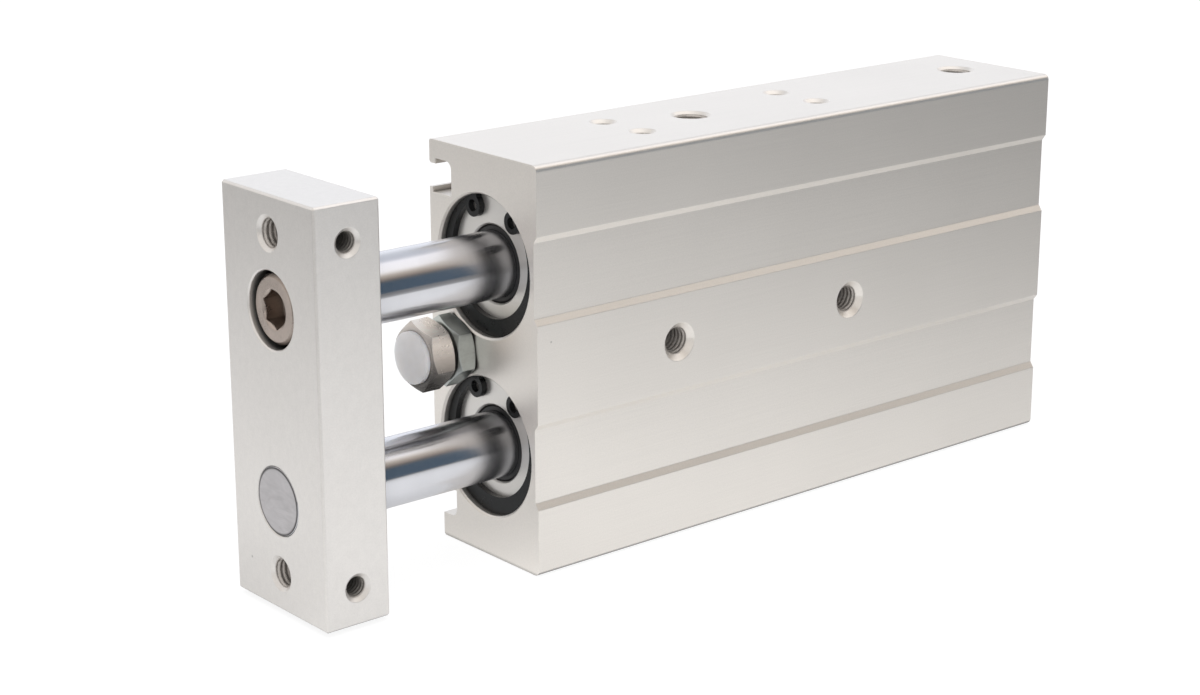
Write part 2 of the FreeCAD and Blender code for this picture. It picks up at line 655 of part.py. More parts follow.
def make_stop_bolt():
    """Hexagon bolt with a seat for the pad in its head: x = 0 on the housing's front face."""
    under_head = S.stop_nut_height + S.stop_thread_gap
    top = under_head + S.stop_head_height
    thread = S.thread
    body = new_body("bumper_bolt")
    hexagon_sketch = new_sketch(body, "hexagon", "YZ_Plane", under_head)
    add_outline(hexagon_sketch, hexagon(S.stop_hexagon))
    add_feature(body, "Pad", "head", hexagon_sketch, Length=S.stop_head_height)
    bevel_hexagon(body, "front_bevel", top, -1, S.stop_hexagon)
    bevel_hexagon(body, "rear_bevel", under_head, 1, S.stop_hexagon)
    shank = new_sketch(body, "shank_profile", "XY_Plane")
    tip = -S.stop_engagement
    overlap = under_head + S.stop_head_height / 2
    add_outline(shank, [(tip, 0), (tip, thread - S.rod_chamfer), (tip + S.rod_chamfer, thread),
                        (overlap, thread), (overlap, 0)])
    turn(body, "Revolution", "shank", shank)
    seat = new_sketch(body, "pad_seat", "YZ_Plane", top)
    add_circle(seat, 0, 0, S.pad_diameter + S.seat_clearance * 2)
    add_feature(body, "Pocket", "pad_socket", seat, Length=S.pad_socket_depth)
    place(body, S.front, -S.stop_offset, S.half_height, FreeCAD.Vector(1, 0, 0), S.stop_head_turn)
    return body


def make_hexagon_nut(name, across_flats, height):
    """Hexagon nut with both faces bevelled: x = 0 on its rear face, the rest towards +X."""
    body = new_body(name)
    sketch = new_sketch(body, "hexagon", "YZ_Plane")
    add_outline(sketch, hexagon(across_flats))
    add_circle(sketch, 0, 0, S.thread_hole * 2)
    add_feature(body, "Pad", "blank", sketch, Length=height)
    bevel_hexagon(body, "front_bevel", height, -1, across_flats)
    bevel_hexagon(body, "rear_bevel", as_size(0), 1, across_flats)
    return body


def make_stop_nut():
    nut = make_hexagon_nut("bumper_lock_nut", S.stop_hexagon, S.stop_nut_height)
    place(nut, S.front, -S.stop_offset, S.half_height, FreeCAD.Vector(1, 0, 0), S.stop_nut_turn)
    return nut


def make_stop_pad():
    """Domed urethane disc: x = 0 on the bolt head's face."""
    body = new_body("bumper_pad")
    sketch = new_sketch(body, "profile", "XY_Plane")
    radius = S.pad_diameter / 2
    rise, rim, floor = S.pad_rise, S.pad_rim, -S.pad_socket_depth
    crown = rise - rim
    sphere = (crown.value ** 2 + radius.value ** 2) / (2 * crown.value)
    centre = FreeCAD.Vector(rise.value - sphere, 0, 0)
    spread = math.asin(radius.value / sphere)
    corners = [(rise, as_size(0)), (rim, radius), (floor, radius), (floor, as_size(0))]
    points = [FreeCAD.Vector(x.value, y.value, 0) for x, y in corners]
    circle = Part.Circle(centre, FreeCAD.Vector(0, 0, 1), sphere)
    arc = sketch.addGeometry(Part.ArcOfCircle(circle, 0, spread), False)
    lines = [sketch.addGeometry(Part.LineSegment(a, b), False)
             for a, b in zip(points[1:], points[2:] + points[:1])]
    hold(sketch, arc, 1, *corners[0])
    hold(sketch, arc, 2, *corners[1])
    sketch.addConstraint(Sketcher.Constraint("PointOnObject", arc, 3, -1))
    ends = [(arc, 2)] + [(line, 2) for line in lines]
    starts = [(line, 1) for line in lines] + [(arc, 1)]
    for end, start in zip(ends, starts):
        sketch.addConstraint(Sketcher.Constraint("Coincident", end[0], end[1], start[0], start[1]))
    for line, corner in zip(lines[1:], corners[2:]):
        hold(sketch, line, 1, *corner)
    turn(body, "Revolution", "turned", sketch)
    place(body, S.front + S.stop_reach - S.pad_rise, -S.stop_offset, S.half_height)
    return body


# Slide


def make_tool_plate():
    """Plate that joins the two rods: x = 0 on its inner face, its middle at y = z = 0."""
    body = new_body("tool_plate")
    wide, tall, thick = S.plate_half_width, S.plate_half_height, S.plate_thickness
    outline = new_sketch(body, "outline", "YZ_Plane")
    add_outline(outline, [(-wide, -tall), (wide, -tall), (wide, tall), (-wide, tall)])
    blank = add_feature(body, "Pad", "blank", outline, Length=thick)
    doc.recompute()
    chamfer = body.newObject("PartDesign::Chamfer", "tool_plate_edges")
    chamfer.Base = (blank, ["Edge%d" % number for number in range(1, 13)])
    bind(chamfer, Size=S.plate_edge)
    cut_rod_seats(body)
    taps = new_sketch(body, "face_centres", "YZ_Plane", thick)
    sides = new_sketch(body, "side_centres", "XZ_Plane", -wide)
    for direction in (1, -1):
        z = (tall - S.plate_hole_edge) * direction
        add_circle(taps, 0, z, S.drill_m8)
        add_circle(sides, thick / 2, z, S.drill_m6)
    drill(body, "face_holes", taps, S.drill_m8, thick, S.plate_mouth_m8, False)
    drill(body, "side_holes", sides, S.drill_m6, S.plate_side_depth, S.mouth_m6, True)
    place(body, S.plate_face, 0, S.half_height)
    return body


def cut_rod_seats(body):
    """Stepped hole for the upper rod and its screw, through hole and set screw hole for the lower rod."""
    thick = S.plate_thickness
    rod_hole = S.rod + S.seat_clearance
    screw_hole = S.thread + S.seat_clearance * 5
    recess, recess_edge = S.screw_recess_diameter / 2, S.screw_recess_chamfer
    upper = new_sketch(body, "upper_seat_profile", "XY_Plane", S.bore_height)
    add_outline(upper, [(0, 0), (0, rod_hole), (S.rod_seat_depth, rod_hole), (S.rod_seat_depth, screw_hole),
                        (S.screw_seat, screw_hole), (S.screw_seat, recess),
                        (thick - recess_edge, recess), (thick, recess + recess_edge), (thick, 0)])
    turn(body, "Groove", "upper_seat", upper)
    lower = new_sketch(body, "lower_seat_profile", "XY_Plane", -S.bore_height)
    bevel = S.turned_chamfer / 2
    add_outline(lower, [(0, 0), (0, rod_hole), (thick - bevel, rod_hole),
                        (thick, rod_hole + bevel), (thick, 0)])
    turn(body, "Groove", "lower_seat", lower)
    lock = new_sketch(body, "set_screw_centre", "XZ_Plane", S.plate_half_width)
    add_circle(lock, thick / 2, -S.bore_height, S.set_screw_diameter + S.seat_clearance * 2)
    add_feature(body, "Pocket", "set_screw_hole", lock, Length=S.plate_half_width)


def spigot_profile():
    """Corners of the rod's rear end, which carries the piston and its nut: x = 0 on the shoulder."""
    tip = -(S.piston_length - S.nut_recess_depth + S.piston_nut_height + S.seal_edge / 2)
    return [(tip, 0), (tip, S.thread - S.rod_chamfer), (tip + S.rod_chamfer, S.thread),
            (0, S.thread), (0, S.rod)]


def make_upper_rod():
    """Rod with a tapped front end for the plate's cap screw."""
    end = S.plate_face + S.rod_seat_depth - S.piston_face
    hole = S.thread_hole
    hole_end = end - S.screw_engagement - S.rod_chamfer * 3
    rod = turned_body("piston_rod_upper", spigot_profile() + [
        (end - S.rod_chamfer, S.rod), (end, S.rod - S.rod_chamfer), (end, hole + S.turned_chamfer),
        (end - S.turned_chamfer, hole), (hole_end, hole), (hole_end - hole * HEX_CORNER, 0)])
    place(rod, S.piston_face, 0, bore_centre(1))
    return rod


def make_lower_rod():
    """Plain-ended rod that passes through the plate and ends flush with its outer face."""
    end = S.plate_face + S.plate_thickness - S.piston_face
    bevel = S.turned_chamfer / 2
    rod = turned_body("piston_rod_lower", spigot_profile() + [
        (end - bevel, S.rod), (end, S.rod - bevel), (end, 0)])
    place(rod, S.piston_face, 0, bore_centre(-1))
    return rod


def cut_socket(body, across_flats, face, depth):
    """Hexagon socket in the +X end of a screw."""
    sketch = new_sketch(body, "socket_hexagon", "YZ_Plane", face)
    add_outline(sketch, hexagon(across_flats))
    add_feature(body, "Pocket", "socket", sketch, Length=depth)


def make_cap_screw():
    """Socket head screw: x = 0 under the head, head towards +X."""
    head, top, bevel = S.screw_head_diameter / 2, S.screw_head_height, S.rod_chamfer
    tip = S.rod_seat_depth - S.screw_seat - S.screw_engagement
    socket_mouth = S.screw_socket * HEX_CORNER + S.seat_clearance
    screw = turned_body("plate_cap_screw", [
        (tip, 0), (tip, S.thread - bevel), (tip + bevel, S.thread), (0, S.thread), (0, head),
        (top - bevel, head), (top, head - bevel), (top, socket_mouth),
        (top - socket_mouth * HEX_CORNER, 0)])
    cut_socket(screw, S.screw_socket, top, S.screw_socket_depth)
    place(screw, S.plate_face + S.screw_seat, 0, bore_centre(1), FreeCAD.Vector(1, 0, 0), S.screw_turn)
    return screw


def make_set_screw():
    """Headless screw that presses on the lower rod: x = 0 at its point, then turned to lie along -Y."""
    radius, bevel = S.set_screw_diameter / 2, S.turned_chamfer
    length = S.plate_half_width - S.rod - S.seat_clearance - S.set_screw_sink
    screw = turned_body("plate_set_screw", [
        (0, 0), (0, radius - bevel), (bevel, radius),
        (length - bevel, radius), (length, radius - bevel), (length, 0)])
    cut_socket(screw, S.set_screw_socket, length, S.set_screw_socket)
    place(screw, S.plate_face + S.plate_thickness / 2, -S.rod - S.seat_clearance, bore_centre(-1),
          FreeCAD.Vector(0, 0, 1), -90)
    return screw


def make_piston(name, side):
    """Piston with a seal groove, a magnet groove and a recess for the nut: x = 0 on its front face."""
    outer = S.bore - S.piston_clearance
    seal_root, magnet_root = outer - S.piston_seal_depth, outer - S.magnet_depth
    seal_front = -S.piston_land
    seal_rear = seal_front - S.piston_seal_width
    magnet_front = seal_rear - S.magnet_land
    magnet_rear = magnet_front - S.magnet_width
    end = -S.piston_length
    recess, recess_floor = S.nut_recess, end + S.nut_recess_depth
    bevel = S.turned_chamfer
    piston = turned_body(name, [
        (0, S.thread_hole), (0, outer - bevel), (-bevel, outer),
        (seal_front, outer), (seal_front, seal_root), (seal_rear, seal_root), (seal_rear, outer),
        (magnet_front, outer), (magnet_front, magnet_root), (magnet_rear, magnet_root), (magnet_rear, outer),
        (end + bevel, outer), (end, outer - bevel), (end, recess), (recess_floor, recess),
        (recess_floor, S.thread_hole)])
    place(piston, S.piston_face, 0, bore_centre(side))
    return piston


def make_piston_seal(name, side):
    """Rubber ring with a lip towards each chamber: x = 0 on the piston's front face."""
    outer = S.bore - S.running_clearance
    inner = S.bore - S.piston_clearance - S.piston_seal_depth + S.seat_clearance
    front = -S.piston_land - S.seat_clearance
    rear = -S.piston_land - S.piston_seal_width + S.seat_clearance
    middle, notch = (front + rear) / 2, S.seal_edge * 2
    seal = turned_body(name, [
        (front, inner), (front, outer - S.seal_edge), (front - S.seal_edge, outer),
        (middle + S.seal_edge, outer),
        (middle, outer - notch), (middle - S.seal_edge, outer), (rear + S.seal_edge, outer),
        (rear, outer - S.seal_edge), (rear, inner)])
    place(seal, S.piston_face, 0, bore_centre(side))
    return seal


def make_magnet(name, side):
    """Split magnetic ring in the piston's second groove: x = 0 on the piston's front face."""
    outer = S.bore - S.piston_clearance - S.magnet_sink
    inner = S.bore - S.piston_clearance - S.magnet_depth + S.seat_clearance
    front = -S.piston_land - S.piston_seal_width - S.magnet_land - S.seat_clearance
    rear = front - S.magnet_width + S.seat_clearance * 2
    magnet = turned_body(name, [(front, inner), (front, outer), (rear, outer), (rear, inner)])
    gap = new_sketch(magnet, "gap_outline", "XZ_Plane")
    half = S.magnet_gap / 2
    add_outline(gap, [(front, -half), (rear, -half), (rear, half), (front, half)])
    add_feature(magnet, "Pocket", "gap", gap, Length=S.bore)
    place(magnet, S.piston_face, 0, bore_centre(side))
    return magnet


def make_bumper(name, side, inner, face):
    """Rubber ring that cushions an end of the stroke, given its hole and its rear face."""
    outer = S.bumper_edge
    bevel, thick = S.turned_chamfer, S.bumper_thickness
    bumper = turned_body(name, [
        (0, inner), (0, outer - bevel), (bevel, outer), (thick - bevel, outer), (thick, outer - bevel),
        (thick, inner)])
    place(bumper, face, 0, bore_centre(side))
    return bumper


def make_rod_bumper(name, side):
    return make_bumper(name, side, S.rod + S.seat_clearance, S.piston_face)


def make_head_bumper(name, side):
    return make_bumper(name, side, S.bumper_edge - S.head_bumper_width, S.piston_rear)


def make_piston_nut(name, side):
    nut = make_hexagon_nut(name, S.hex_m10, S.piston_nut_height)
    recess_floor = S.piston_face - S.piston_length + S.nut_recess_depth
    place(nut, recess_floor - S.piston_nut_height, 0, bore_centre(side))
    return nut


PAIRED = (
    ("rod_cover", make_rod_cover),
    ("rod_cover_o_ring", make_cover_o_ring),
    ("seal_retainer", make_seal_retainer),
    ("rod_seal", make_rod_seal),
    ("front_retaining_ring", make_front_ring),
    ("head_cover", make_head_cover),
    ("head_cover_o_ring", make_head_o_ring),
    ("rear_retaining_ring", make_rear_ring),
    ("piston", make_piston),
    ("piston_seal", make_piston_seal),
    ("piston_magnet", make_magnet),
    ("rod_side_bumper", make_rod_bumper),
    ("head_side_bumper", make_head_bumper),
    ("piston_nut", make_piston_nut),
)
SINGLE = (make_housing, make_stop_bolt, make_stop_nut, make_stop_pad, make_tool_plate,
          make_upper_rod, make_lower_rod, make_cap_screw, make_set_screw)


def check(subparts):
    """Stops if a feature failed, if a cut took nothing away, or if a sub-part is not one sound solid."""
    for item in doc.Objects:
        if "Invalid" in item.State or "Error" in item.State:
            raise RuntimeError("%s did not build" % item.Name)
        if item.TypeId in CUTTING and item.BaseFeature is not None:
            if item.Shape.Volume > item.BaseFeature.Shape.Volume - 1e-6:
                raise RuntimeError("%s cuts nothing" % item.Name)
    for item in subparts:
        if item.Shape.isNull() or not item.Shape.isValid() or len(item.Shape.Solids) != 1:
            raise RuntimeError("%s is not one sound solid" % item.Label)


def main():
    fill_sheet()
    subparts = [make() for make in SINGLE]
    for name, make in PAIRED:
        subparts.append(make(name + "_upper", 1))
        subparts.append(make(name + "_lower", -1))
    doc.recompute()
    check(subparts)
    os.makedirs("parts", exist_ok=True)
    for item in subparts:
        item.Shape.exportStep("parts/%s.step" % item.Label)
        box = item.Shape.BoundBox
        print("%-28s %9.1f mm3  x %7.2f to %7.2f" % (item.Label, item.Shape.Volume, box.XMin, box.XMax))


main()
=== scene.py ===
"""Looks of a guided pneumatic cylinder with two rods, laid out as an add-on.

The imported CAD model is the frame: its solids stay where they are and get their finishes here. The
operators in the sidebar give each group of pieces its finish, cut the screw threads and set up the
studio.
"""

import json
import math

import bmesh
import bpy
from bpy.props import FloatProperty, FloatVectorProperty, PointerProperty
from mathutils import Matrix, Vector


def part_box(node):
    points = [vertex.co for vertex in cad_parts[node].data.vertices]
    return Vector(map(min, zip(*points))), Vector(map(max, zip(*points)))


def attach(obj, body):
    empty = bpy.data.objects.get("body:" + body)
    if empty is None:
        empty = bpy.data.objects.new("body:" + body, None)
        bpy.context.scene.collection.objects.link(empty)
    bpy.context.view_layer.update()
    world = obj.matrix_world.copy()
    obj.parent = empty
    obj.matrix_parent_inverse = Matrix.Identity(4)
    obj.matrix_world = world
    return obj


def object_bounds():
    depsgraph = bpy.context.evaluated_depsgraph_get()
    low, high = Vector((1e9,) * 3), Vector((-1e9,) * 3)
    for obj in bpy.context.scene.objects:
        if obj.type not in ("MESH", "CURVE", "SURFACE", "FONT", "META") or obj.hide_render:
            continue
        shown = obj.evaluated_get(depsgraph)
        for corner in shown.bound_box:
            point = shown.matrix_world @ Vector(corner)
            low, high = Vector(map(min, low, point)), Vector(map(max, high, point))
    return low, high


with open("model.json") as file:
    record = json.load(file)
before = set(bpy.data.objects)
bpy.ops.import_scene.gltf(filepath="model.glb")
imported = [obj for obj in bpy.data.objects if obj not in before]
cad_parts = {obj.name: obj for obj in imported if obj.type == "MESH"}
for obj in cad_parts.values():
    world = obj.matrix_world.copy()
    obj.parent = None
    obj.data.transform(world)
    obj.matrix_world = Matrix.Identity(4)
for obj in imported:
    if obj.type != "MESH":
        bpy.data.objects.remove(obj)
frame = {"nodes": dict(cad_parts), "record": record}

bl_info = {
    "name": "Guided cylinder",
    "version": (1, 0, 0),
    "blender": (4, 5, 0),
    "location": "3D View > Sidebar > Cylinder",
    "description": "Finishes, screw threads and studio of a guided pneumatic cylinder with two rods",
    "category": "Object",
}

CAD_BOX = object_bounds()
MOUNTS = {mount["name"]: mount for mount in frame["record"]["mounts"]}
SIDES = ("upper", "lower")
MM_PER_METRE = 1000

# Tapped holes of a piece: mount, setting of the pitch, radius at the mouth, depth of the thread
HOUSING_HOLES = (
    ("side_threads", "coarse_pitch", 0.0048, 0.0160),
    ("top_threads", "small_pitch", 0.0034, 0.0090),
    ("base_threads", "small_pitch", 0.0034, 0.0090),
    ("front_port", "port_pitch", 0.0050, 0.0090),
    ("rear_port", "port_pitch", 0.0050, 0.0090),
)
PLATE_HOLES = (
    ("plate_face_threads", "coarse_pitch", 0.0042, 0.0168),
    ("plate_side_threads", "small_pitch", 0.0034, 0.0115),
)
STOP_SHANK_RADIUS = 0.005

# A thread is a thin closed ring. Its back lies this deep in the metal that carries it.
WALL_BEHIND_THREAD = 0.0002
# How far the root of a thread in a hole stands out of that metal
ROOT_STANDS_OUT = WALL_BEHIND_THREAD / 8
THREAD_COLUMNS = 40
ROWS_IN_A_TURN = 7
# 1 gives sharp crests, and more gives flat ones
RIDGE_FLANK = 1.25

# Waves of a wave texture stand this far apart where its scale is 1
WAVE_SPACING = 0.31
# Tone of a pit against the skin round it
PIT_TONE = -0.35
# Width of the gaps beside a nut or bolt that get painted shade
NUT_GAP = 0.0012
# The painted shade on the stop's lower half fades out this far above and below its edge
SHADE_EDGE_BLUR = 0.004
# Painted shade on the rim of a bare rod end starts, and is darkest, this far in from the side of the
# rod
SHADED_RIM_STARTS = 0.00075
SHADED_RIM_DARKEST = 0.0004


def length_setting(name, description, default):
    """A length that a user may change, in metres."""
    return FloatProperty(name=name, description=description, default=default, min=0.0,
                         subtype="DISTANCE", unit="LENGTH", precision=5)


def share_setting(name, description, default):
    """A share from 0 to 1 that a user may change."""
    return FloatProperty(name=name, description=description, default=default, min=0.0, max=1.0,
                         subtype="FACTOR")


def angle_setting(name, description, degrees):
    """An angle that a user may change."""
    return FloatProperty(name=name, description=description, default=math.radians(degrees),
                         subtype="ANGLE", unit="ROTATION")


def power_setting(name, description, default):
    """A lamp's power that a user may change, in watts."""
    return FloatProperty(name=name, description=description, default=default, min=0.0,
                         unit="POWER")


def colour_setting(name, description, red, green, blue):
    """A colour that a user may change."""
    return FloatVectorProperty(name=name, description=description, default=(red, green, blue),
                               size=3, min=0.0, max=1.0, subtype="COLOR")


class CylinderThreads(bpy.types.PropertyGroup):
    """Sizes of the screw threads."""

    coarse_pitch: length_setting("M8 pitch", "Pitch of the M8 threads", 0.00125)
    small_pitch: length_setting("M6 pitch", "Pitch of the M6 threads", 0.001)
    port_pitch: length_setting("Port pitch", "Pitch of the pipe thread in the air ports", 0.000907)
    stop_pitch: length_setting("Stop pitch", "Pitch of the stroke stop's thread", 0.0015)
    ridge_share: share_setting("Ridge height", "Height of the ridges in a hole, in pitches", 0.30)


class CylinderFinish(bpy.types.PropertyGroup):
    """Colours and edges of the finishes."""

    soft_edge: length_setting("Edge rounding", "Broken edges of the machined pieces", 0.00028)
    housing: colour_setting("Housing", "Clear anodised extrusion", 0.79, 0.756, 0.714)
    plate: colour_setting("Tool plate", "Clear anodised plate", 0.775, 0.752, 0.728)
    cut_metal: colour_setting("Cut metal", "Bare metal inside the tapped holes", 0.60, 0.57, 0.54)
    cover: colour_setting("Covers", "Turned aluminium covers", 0.80, 0.78, 0.75)
    chrome: colour_setting("Chrome", "Hard chrome on the rods", 0.66, 0.665, 0.70)
    rod_end: colour_setting("Rod end", "Turned end of the lower rod", 0.52, 0.505, 0.515)
    spring_steel: colour_setting("Retaining rings", "Phosphated spring steel", 0.010, 0.011, 0.012)
    nickel: colour_setting("Stop bolt", "Nickel plated steel", 1.0, 0.93, 0.87)
    zinc: colour_setting("Lock nut", "Zinc plated steel", 0.555, 0.595, 0.58)
    screw: colour_setting("Screws", "Oiled steel of the screws", 0.50, 0.43, 0.385)
    rubber: colour_setting("Rubber", "Seals and rubber rings", 0.012, 0.012, 0.013)
    urethane: colour_setting("Stop pad", "Milky urethane", 0.85, 0.835, 0.84)
    magnet: colour_setting("Magnets", "Bonded magnet rings", 0.05, 0.048, 0.046)


class CylinderStudio(bpy.types.PropertyGroup):
    """Camera, lamps and floor."""

    azimuth: angle_setting("Azimuth", "Camera's direction round the object", 139.82)
    elevation: angle_setting("Elevation", "Camera's height above the horizon", 16.73)
    camera_place: FloatVectorProperty(name="Camera place", description="Where the camera stands",
                                      default=(0.41919, 0.43480, 0.21560), size=3,
                                      subtype="TRANSLATION", unit="LENGTH")
    lens: FloatProperty(name="Lens", description="Focal length in millimetres, on a 36 mm sensor",
                        default=73.293, min=1.0, subtype="NONE")
    tent_radius: length_setting("Tent radius", "Radius of the tent that bright metal reflects", 1.5)
    floor_size: length_setting("Floor size", "Width of the floor", 6.0)
    ceiling_power: power_setting("Ceiling lamp", "Power of the lamp above", 9.0)
    side_power: power_setting("Side lamp", "Power of the lamp beside the camera", 4.0)
    room_light: share_setting("Room light", "Even light from all around", 0.62)


# Node helpers


def node(tree, kind, sockets=None, **settings):
    """Adds a shader node, with values for its sockets by name or number."""
    made = tree.nodes.new(kind)
    for key, value in settings.items():
        setattr(made, key, value)
    for key, value in (sockets or {}).items():
        if isinstance(value, bpy.types.NodeSocket):
            tree.links.new(value, made.inputs[key])
        else:
            made.inputs[key].default_value = value
    return made


def vector_step(tree, operation, *values):
    """A step of arithmetic with vectors."""
    return node(tree, "ShaderNodeVectorMath", dict(enumerate(values)), operation=operation)


def spot(tree, stretch=(1, 1, 1), centre=(0, 0, 0)):
    """A place on the object, in metres from a centre and then stretched along each axis."""
    there = node(tree, "ShaderNodeTexCoord").outputs["Object"]
    moved = vector_step(tree, "SUBTRACT", there, centre).outputs[0]
    return vector_step(tree, "MULTIPLY", moved, stretch).outputs[0]


def length(tree, vector):
    """How long a vector is."""
    return vector_step(tree, "LENGTH", vector).outputs["Value"]


def axes(tree, vector):
    """A vector's three numbers, named X, Y and Z."""
    return node(tree, "ShaderNodeSeparateXYZ", {0: vector}).outputs


def facing(tree, axis):
    """1 where the surface faces along an axis, -1 where it faces the other way."""
    return axes(tree, node(tree, "ShaderNodeNewGeometry").outputs["Normal"])[axis]


def grain(tree, place, scale, detail=2.0, roughness=0.55, distortion=0.0):
    """Noise from 0 to 1, with about that many waves to a unit of place."""
    sockets = {"Vector": place, "Scale": scale, "Detail": detail, "Roughness": roughness,
               "Distortion": distortion}
    return node(tree, "ShaderNodeTexNoise", sockets).outputs[0]


def turning_rings(tree, centre_height, scale, distortion, detail_scale=1.0):
    """Waves from 0 to 1, in rings round the axis of a bore at that height."""
    sockets = {"Vector": spot(tree, centre=(0, 0, centre_height)), "Scale": scale,
               "Distortion": distortion, "Detail": 2.0, "Detail Scale": detail_scale}
    waves = node(tree, "ShaderNodeTexWave", sockets, wave_type="RINGS", rings_direction="X")
    return waves.outputs["Fac"]


def spread(tree, value, low, high, start=0.3, end=0.7):
    """Stretches start..end of a value to low..high. Most of a grain lies between 0.3 and 0.7."""
    sockets = {"Value": value, "From Min": start, "From Max": end, "To Min": low, "To Max": high}
    return node(tree, "ShaderNodeMapRange", sockets).outputs[0]


def number(tree, operation, *values):
    """A step of arithmetic."""
    return node(tree, "ShaderNodeMath", dict(enumerate(values)), operation=operation).outputs[0]


def added(tree, first, *others):
    """Adds up numbers."""
    for other in others:
        first = number(tree, "ADD", first, other)
    return first


def times(tree, first, *others):
    """Multiplies numbers."""
    for other in others:
        first = number(tree, "MULTIPLY", first, other)
    return first


def shade(tree, colour, share):
    """A colour made lighter or darker by a number."""
    sockets = {0: tuple(colour), "Scale": share}
    return node(tree, "ShaderNodeVectorMath", sockets, operation="SCALE").outputs[0]


def blend_numbers(tree, share, first, second):
    """Goes from the first number to the second."""
    return node(tree, "ShaderNodeMix", {0: share, 2: first, 3: second}).outputs[0]


def blend_colours(tree, share, first, second):
    """Goes from the first colour to the second."""
    sockets = {0: share, 6: first, 7: second}
    return node(tree, "ShaderNodeMix", sockets, data_type="RGBA").outputs[2]


def soft_edges(tree, radius):
    """Normals that run round the edges."""
    return node(tree, "ShaderNodeBevel", {"Radius": radius}, samples=4).outputs[0]


def relief(tree, height, depth, edge=None, strength=0.5):
    """Bumps of that depth. Where an edge is given, they lie on edges rounded by it."""
    sockets = {"Height": height, "Distance": depth, "Strength": strength}
    if edge is not None:
        sockets["Normal"] = soft_edges(tree, edge)
    return node(tree, "ShaderNodeBump", sockets).outputs[0]


def painted_gap_shade(tree, reach, least, closed_end=0.25, open_end=0.9):
    """Painted shade: 1 in the open, falling to the least value deep in a narrow gap or corner."""
    hidden = node(tree, "ShaderNodeAmbientOcclusion", {"Distance": reach}, samples=8)
    return spread(tree, hidden.outputs["AO"], least, 1.0, closed_end, open_end)


def new_finish(name, colour, metallic, roughness):
    """A material with its shader. Returns material, tree and shader."""
    material = bpy.data.materials.new(name)
    material.use_nodes = True
    tree = material.node_tree
    shader = tree.nodes["Principled BSDF"]
    shader.inputs["Base Color"].default_value = (*colour, 1.0)
    shader.inputs["Metallic"].default_value = metallic
    shader.inputs["Roughness"].default_value = roughness
    material.diffuse_color = (*colour, 1.0)
    return material, tree, shader


def feed(tree, shader, **values):
    """Links values to the shader's sockets, named with underscores for spaces."""
    for name, value in values.items():
        tree.links.new(value, shader.inputs[name.replace("_", " ")])


# Finishes


def pits(tree):
    """1 in a few tiny pits, 0 between them."""
    cells = node(tree, "ShaderNodeTexVoronoi", {"Vector": spot(tree), "Scale": 95.0}).outputs
    middles = spread(tree, cells["Distance"], 1.0, 0.0, 0.02, 0.035)
    few = spread(tree, cells["Color"], 0.0, 1.0, 0.8, 0.82)
    return times(tree, middles, few)


def anodised_finish(name, colour, edge, stretch, streak, end_tone):
    """Clear anodised aluminium: etched grain, faint lines along the metal's run, a few tiny pits.

    The faces at the piece's two ends are cut, and end_tone lighter.
    """
    material, tree, shader = new_finish(name, colour, metallic=0.8, roughness=0.36)
    fine = grain(tree, spot(tree), 2600.0, detail=3.0, roughness=0.7)
    lines = grain(tree, spot(tree, stretch), 1.0, detail=3.0, roughness=0.6)
    cloud = grain(tree, spot(tree), 22.0)
    tone = added(tree, spread(tree, fine, -0.035, 0.035), spread(tree, lines, -streak, streak),
                 spread(tree, cloud, 0.985, 1.015))
    tone = number(tree, "MULTIPLY_ADD", pits(tree), PIT_TONE, tone)
    end_face = number(tree, "ABSOLUTE", facing(tree, "X"))
    tone = added(tree, tone, spread(tree, end_face, 0.0, end_tone, 0.8, 0.95))
    # Painted shade in narrow gaps and corners
    tone = times(tree, tone, painted_gap_shade(tree, reach=0.002, least=0.2, closed_end=0.4, open_end=0.75))
    etching = added(tree, fine, lines)
    feed(tree, shader, Base_Color=shade(tree, colour, tone),
         Roughness=spread(tree, fine, 0.31, 0.41),
         Normal=relief(tree, etching, depth=0.000012, edge=edge))
    return material


def cut_metal_finish(name, colour):
    """Bare metal that a tap left, with painted shade down the hole."""
    material, tree, shader = new_finish(name, colour, metallic=0.75, roughness=0.45)
    streaks = grain(tree, spot(tree), 1800.0, detail=3.0)
    # Painted shade deep in the hole
    tone = times(tree, spread(tree, streaks, 0.8, 1.15),
                 painted_gap_shade(tree, reach=0.006, least=0.3, closed_end=0.05, open_end=0.6))
    feed(tree, shader, Base_Color=shade(tree, colour, tone),
         Roughness=spread(tree, streaks, 0.38, 0.55))
    return material


def turned_finish(name, colour, edge, centre_height, roughness, ring_width):
    """Turned aluminium: fine rings round the axis of a bore at that height."""
    material, tree, shader = new_finish(name, colour, 0.75, roughness)
    rings = turning_rings(tree, centre_height, WAVE_SPACING / ring_width, distortion=0.6,
                          detail_scale=3.0)
    patches = grain(tree, spot(tree), 90.0)
    tone = added(tree, spread(tree, rings, -0.02, 0.02, 0.0, 1.0),
                 spread(tree, patches, 0.96, 1.03))
    # Painted shade in narrow gaps and corners, as by the rod seal
    tone = times(tree, tone, painted_gap_shade(tree, reach=0.0025, least=0.5, open_end=0.7))
    feed(tree, shader, Base_Color=shade(tree, colour, tone),
         Roughness=spread(tree, patches, roughness - 0.03, roughness + 0.04),
         Normal=soft_edges(tree, edge))
    return material


